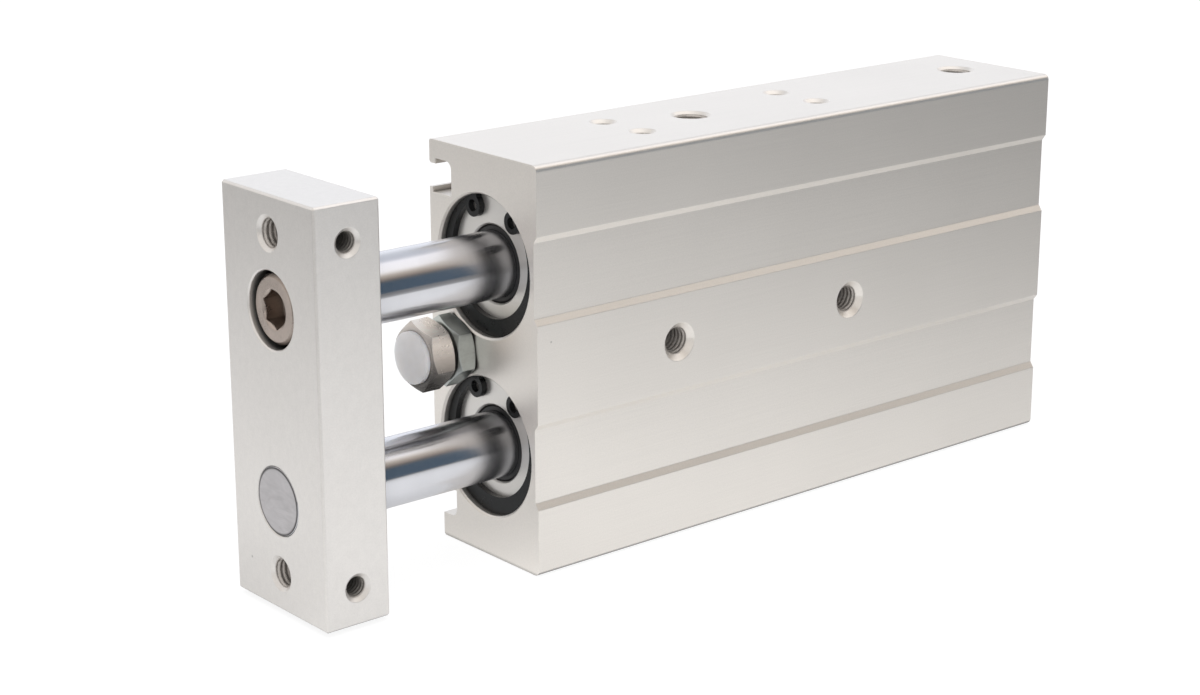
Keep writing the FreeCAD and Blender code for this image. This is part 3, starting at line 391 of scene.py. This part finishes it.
def chrome_finish(name, colour, end_colour, edge, end_face, centre_height, radius):
    """Ground and hard chromed rod.

    Beyond end_face it is the bare turned end of the rod, with painted shade on its rim.
    """
    material, tree, shader = new_finish(name, colour, metallic=1.0, roughness=0.15)
    grinding = grain(tree, spot(tree, (9000, 260, 260)), 1.0)
    haze = grain(tree, spot(tree), 90.0, detail=3.0)
    # Painted shade: the chrome goes darker near corners, as by the seal and retainer
    chromed = times(tree, spread(tree, haze, 0.96, 1.03), painted_gap_shade(tree, reach=0.016, least=0.52))

    rings = turning_rings(tree, centre_height, scale=700.0, distortion=0.8)
    smears = grain(tree, spot(tree, (1, 1, 2.4)), 190.0, detail=3.0, roughness=0.6, distortion=1.5)
    worn = added(tree, spread(tree, rings, -0.07, 0.06, 0.0, 1.0), spread(tree, smears, 0.9, 1.1))
    from_axis = length(tree, spot(tree, (0, 1, 1), (0, 0, centre_height)))
    # Painted shade: the bare end goes dark towards the side of the rod, as in the gap to the plate
    rim = spread(tree, from_axis, 1.0, 0.22, radius - SHADED_RIM_STARTS, radius - SHADED_RIM_DARKEST)
    turned = times(tree, worn, rim)

    bare = number(tree, "GREATER_THAN", axes(tree, spot(tree))["X"], end_face)
    round_axis = node(tree, "ShaderNodeTangent", direction_type="RADIAL", axis="X").outputs[0]
    shader.inputs["Anisotropic Rotation"].default_value = 0.25
    feed(tree, shader, Tangent=round_axis,
         Base_Color=blend_colours(tree, bare, shade(tree, colour, chromed),
                                  shade(tree, end_colour, turned)),
         Roughness=number(tree, "MULTIPLY_ADD", bare, 0.22, spread(tree, grinding, 0.15, 0.21)),
         Anisotropic=spread(tree, bare, 0.95, 0.0, 0.0, 1.0),
         Normal=relief(tree, blend_numbers(tree, bare, grinding, rings), depth=0.0000012,
                       edge=edge))
    return material


def phosphate_finish(name, colour, edge):
    """Black phosphate on spring steel: fine crystals in soft patches."""
    material, tree, shader = new_finish(name, colour, metallic=0.2, roughness=0.3)
    shader.inputs["Specular IOR Level"].default_value = 0.3
    crystals = grain(tree, spot(tree), 3800.0, detail=3.0, roughness=0.7)
    patches = grain(tree, spot(tree), 420.0, detail=3.0)
    tone = added(tree, spread(tree, crystals, -0.3, 0.5), spread(tree, patches, 0.8, 1.3))
    feed(tree, shader, Base_Color=shade(tree, colour, tone),
         Roughness=spread(tree, patches, 0.24, 0.38),
         Normal=relief(tree, crystals, depth=0.00001, edge=edge))
    return material


def steel_finish(name, colour, edge, metallic, roughness, blotch, gap, shade_height=None):
    """Plated or oiled steel: soft blotches and fine scratches, with painted shade in gaps of that
    width.

    Where a shade height is given, painted shade darkens the skin below that height, and what faces
    ahead, to the plate, gets painted shade too.
    """
    material, tree, shader = new_finish(name, colour, metallic, roughness)
    blotches = grain(tree, spot(tree), 240.0, detail=4.0, roughness=0.6, distortion=0.4)
    scratches = grain(tree, spot(tree, (500, 6500, 1600)), 1.0)
    tone = added(tree, spread(tree, blotches, 1.0 - blotch, 1.0 + blotch),
                 spread(tree, scratches, -0.05, 0.05))
    # Painted shade in gaps of that width
    tone = times(tree, tone, painted_gap_shade(tree, gap, least=0.3, open_end=0.8))
    # Painted shade: darker below the height, and darker where the skin faces the plate
    if shade_height is not None:
        lower_shade = spread(tree, axes(tree, spot(tree))["Z"], 0.15, 1.0,
                      shade_height - SHADE_EDGE_BLUR, shade_height + SHADE_EDGE_BLUR)
        tone = times(tree, tone, lower_shade, spread(tree, facing(tree, "X"), 1.0, 0.62, 0.15, 0.4))
    skin = added(tree, blotches, scratches)
    feed(tree, shader, Base_Color=shade(tree, colour, tone),
         Roughness=spread(tree, blotches, roughness - 0.07, roughness + 0.1),
         Normal=relief(tree, skin, depth=0.000002, edge=edge))
    return material


def rubber_finish(name, colour, roughness):
    """Moulded rubber: fine pores and a faint bloom."""
    material, tree, shader = new_finish(name, colour, 0.0, roughness)
    pores = grain(tree, spot(tree), 3000.0, detail=3.0, roughness=0.7)
    bloom = grain(tree, spot(tree), 180.0, detail=3.0)
    feed(tree, shader, Base_Color=shade(tree, colour, spread(tree, bloom, 0.8, 1.5)),
         Roughness=spread(tree, pores, roughness - 0.08, roughness + 0.1),
         Normal=relief(tree, pores, depth=0.00002))
    return material


def urethane_finish(name, colour, edge):
    """Milky urethane: lets a little light in, with a fine moulded skin."""
    material, tree, shader = new_finish(name, colour, metallic=0.0, roughness=0.34)
    shader.inputs["Subsurface Weight"].default_value = 0.35
    shader.inputs["Subsurface Radius"].default_value = (0.0016, 0.0014, 0.0012)
    shader.inputs["Subsurface Scale"].default_value = 1.0
    cloud = grain(tree, spot(tree), 320.0, detail=3.0)
    skin = grain(tree, spot(tree), 2400.0)
    feed(tree, shader, Base_Color=shade(tree, colour, spread(tree, cloud, 0.965, 1.03)),
         Roughness=spread(tree, cloud, 0.28, 0.42),
         Normal=relief(tree, skin, depth=0.00001, edge=edge, strength=0.4))
    return material


def dress(names, material):
    """Gives CAD nodes a finish."""
    for name in names:
        data = frame["nodes"][name].data
        data.materials.clear()
        data.materials.append(material)
        data.shade_smooth()


def bore_height(side):
    """Height of a rod's axis above the base."""
    low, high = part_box("piston_rod_%s" % side)
    return (low.z + high.z) / 2


# Screw threads


def add_to_scene(name, data):
    """Puts an object with that data in the scene."""
    made = bpy.data.objects.new(name, data)
    bpy.context.scene.collection.objects.link(made)
    return made


def add_mesh(name, mesh):
    """Puts a mesh in the scene, as an object of its own."""
    data = bpy.data.meshes.new(name)
    mesh.to_mesh(data)
    mesh.free()
    return add_to_scene(name, data)


def threaded_ring(name, root, crest, back, start, end, pitch):
    """Closed ring round local +Z. The wall from root to crest is a right-hand thread."""
    mesh = bmesh.new()
    rows = round((end - start) / pitch * ROWS_IN_A_TURN) + 1
    columns = range(THREAD_COLUMNS)
    angles = [math.tau * column / THREAD_COLUMNS for column in columns]

    def circle(height, radii):
        """Vertices round the axis, one for each column."""
        return [mesh.verts.new((radius * math.cos(angle), radius * math.sin(angle), height))
                for radius, angle in zip(radii, angles)]

    walls = []
    for row in range(rows + 1):
        height = start + (end - start) * row / rows
        run_out = min(1.0, 2 * (height - start) / pitch, 2 * (end - height) / pitch)
        phases = [(height / pitch - column / THREAD_COLUMNS) % 1.0 for column in columns]
        ridges = [min(1.0, RIDGE_FLANK * (1.0 - abs(2.0 * phase - 1.0))) for phase in phases]
        walls.append(circle(height, [root + (crest - root) * ridge * run_out for ridge in ridges]))
    for height in (end, start):
        walls.append(circle(height, [back] * THREAD_COLUMNS))
    for first, second in zip(walls, walls[1:] + walls[:1]):
        for column in columns:
            after = (column + 1) % THREAD_COLUMNS
            mesh.faces.new((first[column], first[after], second[after], second[column]))
    bmesh.ops.recalc_face_normals(mesh, faces=mesh.faces)
    ring = add_mesh(name, mesh)
    ring.data.shade_smooth()
    return ring


def set_piece(piece, mouth, inward, body, material):
    """Puts a piece built along +Z at its mouth, pointing inward, on its body."""
    turned = Vector(inward).to_track_quat("Z", "Y").to_matrix().to_4x4()
    piece.matrix_world = Matrix.Translation(mouth) @ turned
    piece.data.materials.append(material)
    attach(piece, body)


def hole_radius(mount):
    """Radius of a mount's holes."""
    sizes = mount["dims"]
    return sizes.get("hole_r_mm", sizes.get("r_mm")) / MM_PER_METRE


def hole_mouths(mount, carrier):
    """Middles of a mount's holes on the face of the node that carries them."""
    outward = Vector(mount["axis"])
    face = max(range(3), key=lambda axis: abs(outward[axis]))
    across = [axis for axis in range(3) if axis != face]
    low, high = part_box(carrier)
    steps = [mount["dims"].get("spacing_%s_mm" % way, 0.0) / MM_PER_METRE / 2 for way in "xy"]
    mouths = []
    for first in sorted({-steps[0], steps[0]}):
        for second in sorted({-steps[1], steps[1]}):
            mouth = Vector(mount["pos_m"])
            mouth[face] = high[face] if outward[face] > 0 else low[face]
            mouth[across[0]] += first
            mouth[across[1]] += second
            mouths.append(mouth)
    return mouths


def cut_threads(holes, carrier, body, material, threads):
    """Lines the tapped holes of a node with their threads, from below their countersinks."""
    for name, pitch_setting, mouth_radius, depth in holes:
        mount = MOUNTS[name]
        radius = hole_radius(mount)
        pitch = getattr(threads, pitch_setting)
        countersink = mouth_radius - radius
        for count, mouth in enumerate(hole_mouths(mount, carrier), 1):
            ring = threaded_ring("%s_%d" % (name, count), radius - ROOT_STANDS_OUT,
                                 radius - pitch * threads.ridge_share,
                                 radius + WALL_BEHIND_THREAD, countersink, depth, pitch)
            set_piece(ring, mouth, -Vector(mount["axis"]), body, material)


# Operators


class CYLINDER_OT_housing(bpy.types.Operator):
    """Finish the extruded housing and line its tapped holes and ports with their threads"""

    bl_idname = "cylinder.housing"
    bl_label = "Housing"

    def execute(self, context):
        finish, threads = context.scene.cylinder_finish, context.scene.cylinder_threads
        dress(["housing"], anodised_finish("anodised_housing", finish.housing, finish.soft_edge,
                                           stretch=(26, 2600, 2600), streak=0.015, end_tone=0.09))
        cut = cut_metal_finish("cut_housing", finish.cut_metal)
        cut_threads(HOUSING_HOLES, "housing", "housing_body", cut, threads)
        return {"FINISHED"}


class CYLINDER_OT_tool_plate(bpy.types.Operator):
    """Finish the tool plate and line its tapped holes with their threads"""

    bl_idname = "cylinder.tool_plate"
    bl_label = "Tool plate"

    def execute(self, context):
        finish, threads = context.scene.cylinder_finish, context.scene.cylinder_threads
        dress(["tool_plate"], anodised_finish("anodised_plate", finish.plate, finish.soft_edge,
                                              stretch=(700, 700, 500), streak=0.02, end_tone=0.0))
        cut = cut_metal_finish("cut_plate", finish.cut_metal)
        cut_threads(PLATE_HOLES, "tool_plate", "slide_body", cut, threads)

        low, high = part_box("plate_set_screw")
        plate_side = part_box("tool_plate")[0].y
        mouth = Vector(((low.x + high.x) / 2, plate_side, (low.z + high.z) / 2))
        radius = (high.x - low.x) / 2
        pitch = threads.small_pitch
        ring = threaded_ring("set_screw_thread", radius, radius - pitch * threads.ridge_share,
                             radius + WALL_BEHIND_THREAD, WALL_BEHIND_THREAD,
                             low.y - plate_side - WALL_BEHIND_THREAD / 2, pitch)
        set_piece(ring, mouth, (0, 1, 0), "slide_body", cut)
        return {"FINISHED"}


class CYLINDER_OT_rods(bpy.types.Operator):
    """Finish the two chromed rods, and the lower rod's turned end that shows in the plate"""

    bl_idname = "cylinder.rods"
    bl_label = "Piston rods"

    def execute(self, context):
        finish = context.scene.cylinder_finish
        for side in SIDES:
            rod = "piston_rod_%s" % side
            low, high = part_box(rod)
            dress([rod], chrome_finish("hard_chrome_%s" % side, finish.chrome, finish.rod_end,
                                       finish.soft_edge, end_face=high.x - finish.soft_edge / 3,
                                       centre_height=bore_height(side),
                                       radius=(high.z - low.z) / 2))
        return {"FINISHED"}


class CYLINDER_OT_bore_ends(bpy.types.Operator):
    """Finish what closes the bores: covers, seal retainers, rod seals and retaining rings"""

    bl_idname = "cylinder.bore_ends"
    bl_label = "Bore ends"

    def execute(self, context):
        finish = context.scene.cylinder_finish
        ring = phosphate_finish("black_spring_steel", finish.spring_steel, finish.soft_edge / 2)
        rubber = rubber_finish("seal_rubber", finish.rubber, 0.42)
        for side in SIDES:
            height = bore_height(side)
            retainer = turned_finish("turned_retainer_%s" % side, finish.cover, finish.soft_edge,
                                     height, roughness=0.33, ring_width=0.00022)
            cover = turned_finish("turned_cover_%s" % side, finish.cover, finish.soft_edge,
                                  height, roughness=0.34, ring_width=0.0004)
            dress(["seal_retainer_%s" % side], retainer)
            dress(["rod_cover_%s" % side, "head_cover_%s" % side], cover)
            dress(["front_retaining_ring_%s" % side, "rear_retaining_ring_%s" % side], ring)
            dress(["rod_seal_%s" % side, "rod_cover_o_ring_%s" % side,
                   "head_cover_o_ring_%s" % side], rubber)
        return {"FINISHED"}


class CYLINDER_OT_stroke_stop(bpy.types.Operator):
    """Finish the adjustable stop and cut the thread that shows between its nut and its head"""

    bl_idname = "cylinder.stroke_stop"
    bl_label = "Stroke stop"

    def execute(self, context):
        finish, threads = context.scene.cylinder_finish, context.scene.cylinder_threads
        low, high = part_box("bumper_lock_nut")
        middle = Vector((high.x, (low.y + high.y) / 2, (low.z + high.z) / 2))
        # The bolt gets painted shade below the middle of the nut and where it faces the plate
        bolt = steel_finish("nickel_bolt", finish.nickel, finish.soft_edge, metallic=0.6,
                            roughness=0.26, blotch=0.05, gap=NUT_GAP, shade_height=middle.z)
        nut = steel_finish("zinc_nut", finish.zinc, finish.soft_edge, metallic=1.0,
                           roughness=0.36, blotch=0.10, gap=NUT_GAP)
        dress(["bumper_bolt"], bolt)
        dress(["bumper_lock_nut"], nut)
        dress(["bumper_pad"], urethane_finish("urethane_pad", finish.urethane, finish.soft_edge))

        pitch = threads.stop_pitch
        root = STOP_SHANK_RADIUS - 2 * ROOT_STANDS_OUT
        crest = STOP_SHANK_RADIUS + pitch / 10
        back = STOP_SHANK_RADIUS - 2 * WALL_BEHIND_THREAD
        length_in_nut = pitch * 2 / 3
        ring = threaded_ring("stop_thread", root, crest, back, -length_in_nut, pitch, pitch)
        set_piece(ring, middle, (1, 0, 0), "housing_body", bolt)
        return {"FINISHED"}


class CYLINDER_OT_screws(bpy.types.Operator):
    """Finish the plate's cap screw and set screw"""

    bl_idname = "cylinder.screws"
    bl_label = "Plate screws"

    def execute(self, context):
        finish = context.scene.cylinder_finish
        # Painted shade in gaps up to 4 mm, as round the cap screw's head in its recess
        steel = steel_finish("screw_steel", finish.screw, 2 * finish.soft_edge, metallic=1.0,
                             roughness=0.30, blotch=0.16, gap=0.004)
        dress(["plate_cap_screw", "plate_set_screw"], steel)
        return {"FINISHED"}


class CYLINDER_OT_pistons(bpy.types.Operator):
    """Finish the pistons with their seals, magnets, rubber rings and nuts"""

    bl_idname = "cylinder.pistons"
    bl_label = "Pistons"

    def execute(self, context):
        finish = context.scene.cylinder_finish
        rubber = rubber_finish("piston_seal_rubber", finish.rubber, 0.38)
        soft = rubber_finish("bumper_rubber", finish.rubber, 0.5)
        magnet = rubber_finish("magnet", finish.magnet, 0.5)
        nut = steel_finish("nut_steel", finish.zinc, finish.soft_edge, metallic=1.0,
                           roughness=0.34, blotch=0.08, gap=NUT_GAP)
        for side in SIDES:
            piston = turned_finish("piston_aluminium_%s" % side, finish.cover, finish.soft_edge,
                                   bore_height(side), roughness=0.34, ring_width=0.0003)
            dress(["piston_%s" % side], piston)
            dress(["piston_seal_%s" % side], rubber)
            dress(["rod_side_bumper_%s" % side, "head_side_bumper_%s" % side], soft)
            dress(["piston_magnet_%s" % side], magnet)
            dress(["piston_nut_%s" % side], nut)
        return {"FINISHED"}


# Studio

# A fade is two levels, then the two places between which the first goes over to the second.

# The floor's white as it lights the object. Where the floor is seen, it glows and also takes a
# little of the light that falls on it, with the object's shadow.
FLOOR_WHITE = (0.86, 0.86, 0.86)
FLOOR_GLOW = 0.88
FLOOR_TAKES = (0.2, 0.2, 0.2)
FLOOR_DROP = 0.0001
# Metal shows a painted pool of light on the floor, with a painted shadow in it under the rods
POOL_MIDDLE = (0.15, -0.01, 0.0)
POOL_STRETCH = (1.45, 0.85, 1.0)
POOL_FADE = (1.0, 0.12, 0.19, 0.76)
POOL_FADE_AHEAD = (1.0, 0.45, -0.06, 0.4)
ROD_SHADOW_MIDDLE = (0.115, -0.04, 0.0)
ROD_SHADOW_FADE = (0.6, 1.0, 0.02, 0.065)

# Light tent: degrees round the long axis from +Y over the top, then red, green and blue there
TENT_BANDS = (
    (-180, 0.76, 0.77, 0.80),
    (-8, 0.70, 0.70, 0.72),
    (-2, 0.070, 0.100, 0.135),
    (30, 0.066, 0.095, 0.127),
    (36, 0.11, 0.115, 0.12),
    (42, 0.24, 0.20, 0.17),
    (54, 0.52, 0.46, 0.39),
    (62, 0.86, 0.81, 0.76),
    (68, 1.00, 0.97, 0.95),
    (96, 1.00, 0.98, 0.99),
    (104, 0.62, 0.63, 0.67),
    (116, 0.545, 0.565, 0.61),
    (136, 0.60, 0.62, 0.655),
    (150, 0.78, 0.80, 0.84),
    (180, 0.82, 0.84, 0.89),
)
# The tent's length and the places of its fades, in radii. Its front goes over to a colour.
TENT_LENGTH = 8
TENT_FADE = (1.41, 0.705, -0.1, 0.6)
TENT_FRONT_FADE = (0.0, 1.0, 0.15, 0.45)
TENT_FRONT = (1.2, 1.15, 1.1)

# Lamps: name, place, width and the setting of the power
LAMPS = (
    ("ceiling_lamp", (0.1, 0.1, 1.5), 1.4, "ceiling_power"),
    ("side_lamp", (0.5, 1.3, 0.7), 1.0, "side_power"),
)
SENSOR_WIDTH_MM = 36.0


def seen_directly(tree):
    """1 for the camera and for what shows in metal and glass, 0 for light on the object."""
    path = node(tree, "ShaderNodeLightPath").outputs
    share = added(tree, path["Is Camera Ray"], path["Is Glossy Ray"], path["Is Transmission Ray"])
    return number(tree, "MINIMUM", share, 1.0)


def show_surface(tree, shader):
    """Makes a shader the surface, in place of the one that comes with a material."""
    tree.nodes.remove(tree.nodes["Principled BSDF"])
    tree.links.new(shader.outputs[0], tree.nodes["Material Output"].inputs["Surface"])


def floor_finish():
    """White paint. It keeps a soft shadow of the object, and shows metal a painted pool of light
    with a painted shadow under the rods.
    """
    material, tree, _ = new_finish("floor_white", FLOOR_WHITE, metallic=0.0, roughness=0.9)
    place = spot(tree, POOL_STRETCH, POOL_MIDDLE)
    from_rod_shadow = length(tree, spot(tree, centre=ROD_SHADOW_MIDDLE))
    # Painted pool of light, with a painted shadow under the rods, which only metal and glass see
    pool = times(tree, spread(tree, length(tree, place), *POOL_FADE),
                 spread(tree, axes(tree, place)["X"], *POOL_FADE_AHEAD),
                 spread(tree, from_rod_shadow, *ROD_SHADOW_FADE))
    by_camera = node(tree, "ShaderNodeLightPath").outputs["Is Camera Ray"]
    glow = times(tree, number(tree, "MAXIMUM", by_camera, pool), FLOOR_GLOW)

    matt = node(tree, "ShaderNodeBsdfDiffuse", {"Color": (*FLOOR_WHITE, 1.0)})
    taken = node(tree, "ShaderNodeBsdfDiffuse", {"Color": (*FLOOR_TAKES, 1.0)})
    white = node(tree, "ShaderNodeEmission", {"Color": (1, 1, 1, 1), "Strength": glow})
    seen = node(tree, "ShaderNodeAddShader", {0: taken.outputs[0], 1: white.outputs[0]})
    sockets = {0: seen_directly(tree), 1: matt.outputs[0], 2: seen.outputs[0]}
    show_surface(tree, node(tree, "ShaderNodeMixShader", sockets))
    return material


def make_floor(size):
    """Plain white floor just under the housing."""
    mesh = bmesh.new()
    bmesh.ops.create_grid(mesh, x_segments=8, y_segments=8, size=size / 2)
    floor = add_mesh("floor", mesh)
    floor.location.z = -FLOOR_DROP
    floor.data.materials.append(floor_finish())


def tent_finish(radius):
    """Glowing cloth: bright above, darker beside the camera, and white at the front end."""
    material, tree, _ = new_finish("tent_cloth", (1.0, 1.0, 1.0), metallic=0.0, roughness=1.0)
    place = axes(tree, spot(tree))
    angle = number(tree, "ARCTAN2", place["Z"], place["Y"])
    share = number(tree, "MULTIPLY_ADD", angle, 1 / math.tau, 0.5)
    bands = node(tree, "ShaderNodeValToRGB", {"Fac": share})
    elements = bands.color_ramp.elements
    for count, (degrees, *colour) in enumerate(TENT_BANDS):
        stop = degrees / 360 + 0.5
        # A new ramp already has its first two elements
        element = elements[count] if count < 2 else elements.new(stop)
        element.position = stop
        element.color = (*colour, 1.0)

    def fade(first, second, start, end):
        """A fade along the tent."""
        return spread(tree, place["X"], first, second, start * radius, end * radius)

    cloth = blend_colours(tree, fade(*TENT_FRONT_FADE), bands.outputs["Color"],
                          (*TENT_FRONT, 1.0))
    sockets = {"Color": cloth, "Strength": fade(*TENT_FADE)}
    show_surface(tree, node(tree, "ShaderNodeEmission", sockets))
    return material


def make_tent(radius):
    """Long light tent round the object, along the rods. Only reflections see it."""
    mesh = bmesh.new()
    bmesh.ops.create_cone(mesh, cap_ends=False, segments=96, radius1=radius, radius2=radius,
                          depth=TENT_LENGTH * radius)
    tent = add_mesh("light_tent", mesh)
    tent.data.transform(Matrix.Rotation(math.radians(90), 4, "Y"))
    tent.data.materials.append(tent_finish(radius))
    tent.visible_camera = False
    tent.visible_diffuse = False
    tent.visible_transmission = False
    tent.visible_shadow = False


def make_room_light(level):
    """White room: white where it is seen, and an even light on the object."""
    world = bpy.data.worlds.new("room")
    world.use_nodes = True
    bpy.context.scene.world = world
    tree = world.node_tree
    sockets = tree.nodes["Background"].inputs
    sockets["Color"].default_value = (1, 1, 1, 1)
    tree.links.new(spread(tree, seen_directly(tree), level, 1.0, 0.0, 1.0), sockets["Strength"])


def make_lamp(name, place, aim, width, power):
    """Soft square lamp that lights the object and doesn't show in bright metal."""
    data = bpy.data.lights.new(name, "AREA")
    data.shape = "SQUARE"
    data.size = width
    data.energy = power
    lamp = add_to_scene(name, data)
    lamp.location = place
    lamp.rotation_euler = (Vector(aim) - Vector(place)).to_track_quat("-Z", "Y").to_euler()
    lamp.visible_glossy = False


def make_camera(studio):
    """Camera at the photograph's angle, for a frame of 1200 by 695."""
    data = bpy.data.cameras.new("camera")
    data.sensor_fit = "HORIZONTAL"
    data.sensor_width = SENSOR_WIDTH_MM
    data.lens = studio.lens
    data.clip_start = 0.01
    data.clip_end = 50.0
    camera = add_to_scene("camera", data)
    level = math.cos(studio.elevation)
    back = Vector((math.sin(studio.azimuth) * level, -math.cos(studio.azimuth) * level,
                   math.sin(studio.elevation)))
    camera.location = studio.camera_place
    camera.rotation_euler = (-back).to_track_quat("-Z", "Y").to_euler()
    bpy.context.scene.camera = camera


class CYLINDER_OT_studio(bpy.types.Operator):
    """Set up the floor, the light tent, the lamps and the camera"""

    bl_idname = "cylinder.studio"
    bl_label = "Studio"

    def execute(self, context):
        studio = context.scene.cylinder_studio
        make_floor(studio.floor_size)
        make_tent(studio.tent_radius)
        make_room_light(studio.room_light)
        middle = (CAD_BOX[0] + CAD_BOX[1]) / 2
        for name, place, width, power_name in LAMPS:
            make_lamp(name, place, middle, width, getattr(studio, power_name))
        make_camera(studio)
        context.scene.view_settings.view_transform = "Standard"
        return {"FINISHED"}


OPERATORS = (
    CYLINDER_OT_housing,
    CYLINDER_OT_tool_plate,
    CYLINDER_OT_rods,
    CYLINDER_OT_bore_ends,
    CYLINDER_OT_stroke_stop,
    CYLINDER_OT_screws,
    CYLINDER_OT_pistons,
    CYLINDER_OT_studio,
)
SETTINGS = {
    "cylinder_threads": CylinderThreads,
    "cylinder_finish": CylinderFinish,
    "cylinder_studio": CylinderStudio,
}


class CYLINDER_PT_sidebar(bpy.types.Panel):
    """Buttons and settings of the guided cylinder"""

    bl_idname = "CYLINDER_PT_sidebar"
    bl_label = "Guided cylinder"
    bl_space_type = "VIEW_3D"
    bl_region_type = "UI"
    bl_category = "Cylinder"

    def draw(self, context):
        for operator in OPERATORS:
            self.layout.operator(operator.bl_idname)
        for name, group in SETTINGS.items():
            settings = getattr(context.scene, name)
            box = self.layout.box()
            for field in group.__annotations__:
                box.prop(settings, field)


CLASSES = (*SETTINGS.values(), *OPERATORS, CYLINDER_PT_sidebar)


def register():
    """Adds the settings, the operators and the panel."""
    for item in CLASSES:
        bpy.utils.register_class(item)
    for name, group in SETTINGS.items():
        setattr(bpy.types.Scene, name, PointerProperty(type=group))


def unregister():
    """Takes them out again."""
    for name in SETTINGS:
        delattr(bpy.types.Scene, name)
    for item in reversed(CLASSES):
        bpy.utils.unregister_class(item)


def main():
    """Registers the add-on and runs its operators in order."""
    register()
    bpy.ops.cylinder.housing()
    bpy.ops.cylinder.tool_plate()
    bpy.ops.cylinder.rods()
    bpy.ops.cylinder.bore_ends()
    bpy.ops.cylinder.stroke_stop()
    bpy.ops.cylinder.screws()
    bpy.ops.cylinder.pistons()
    bpy.ops.cylinder.studio()


if __name__ == "__main__":
    main()
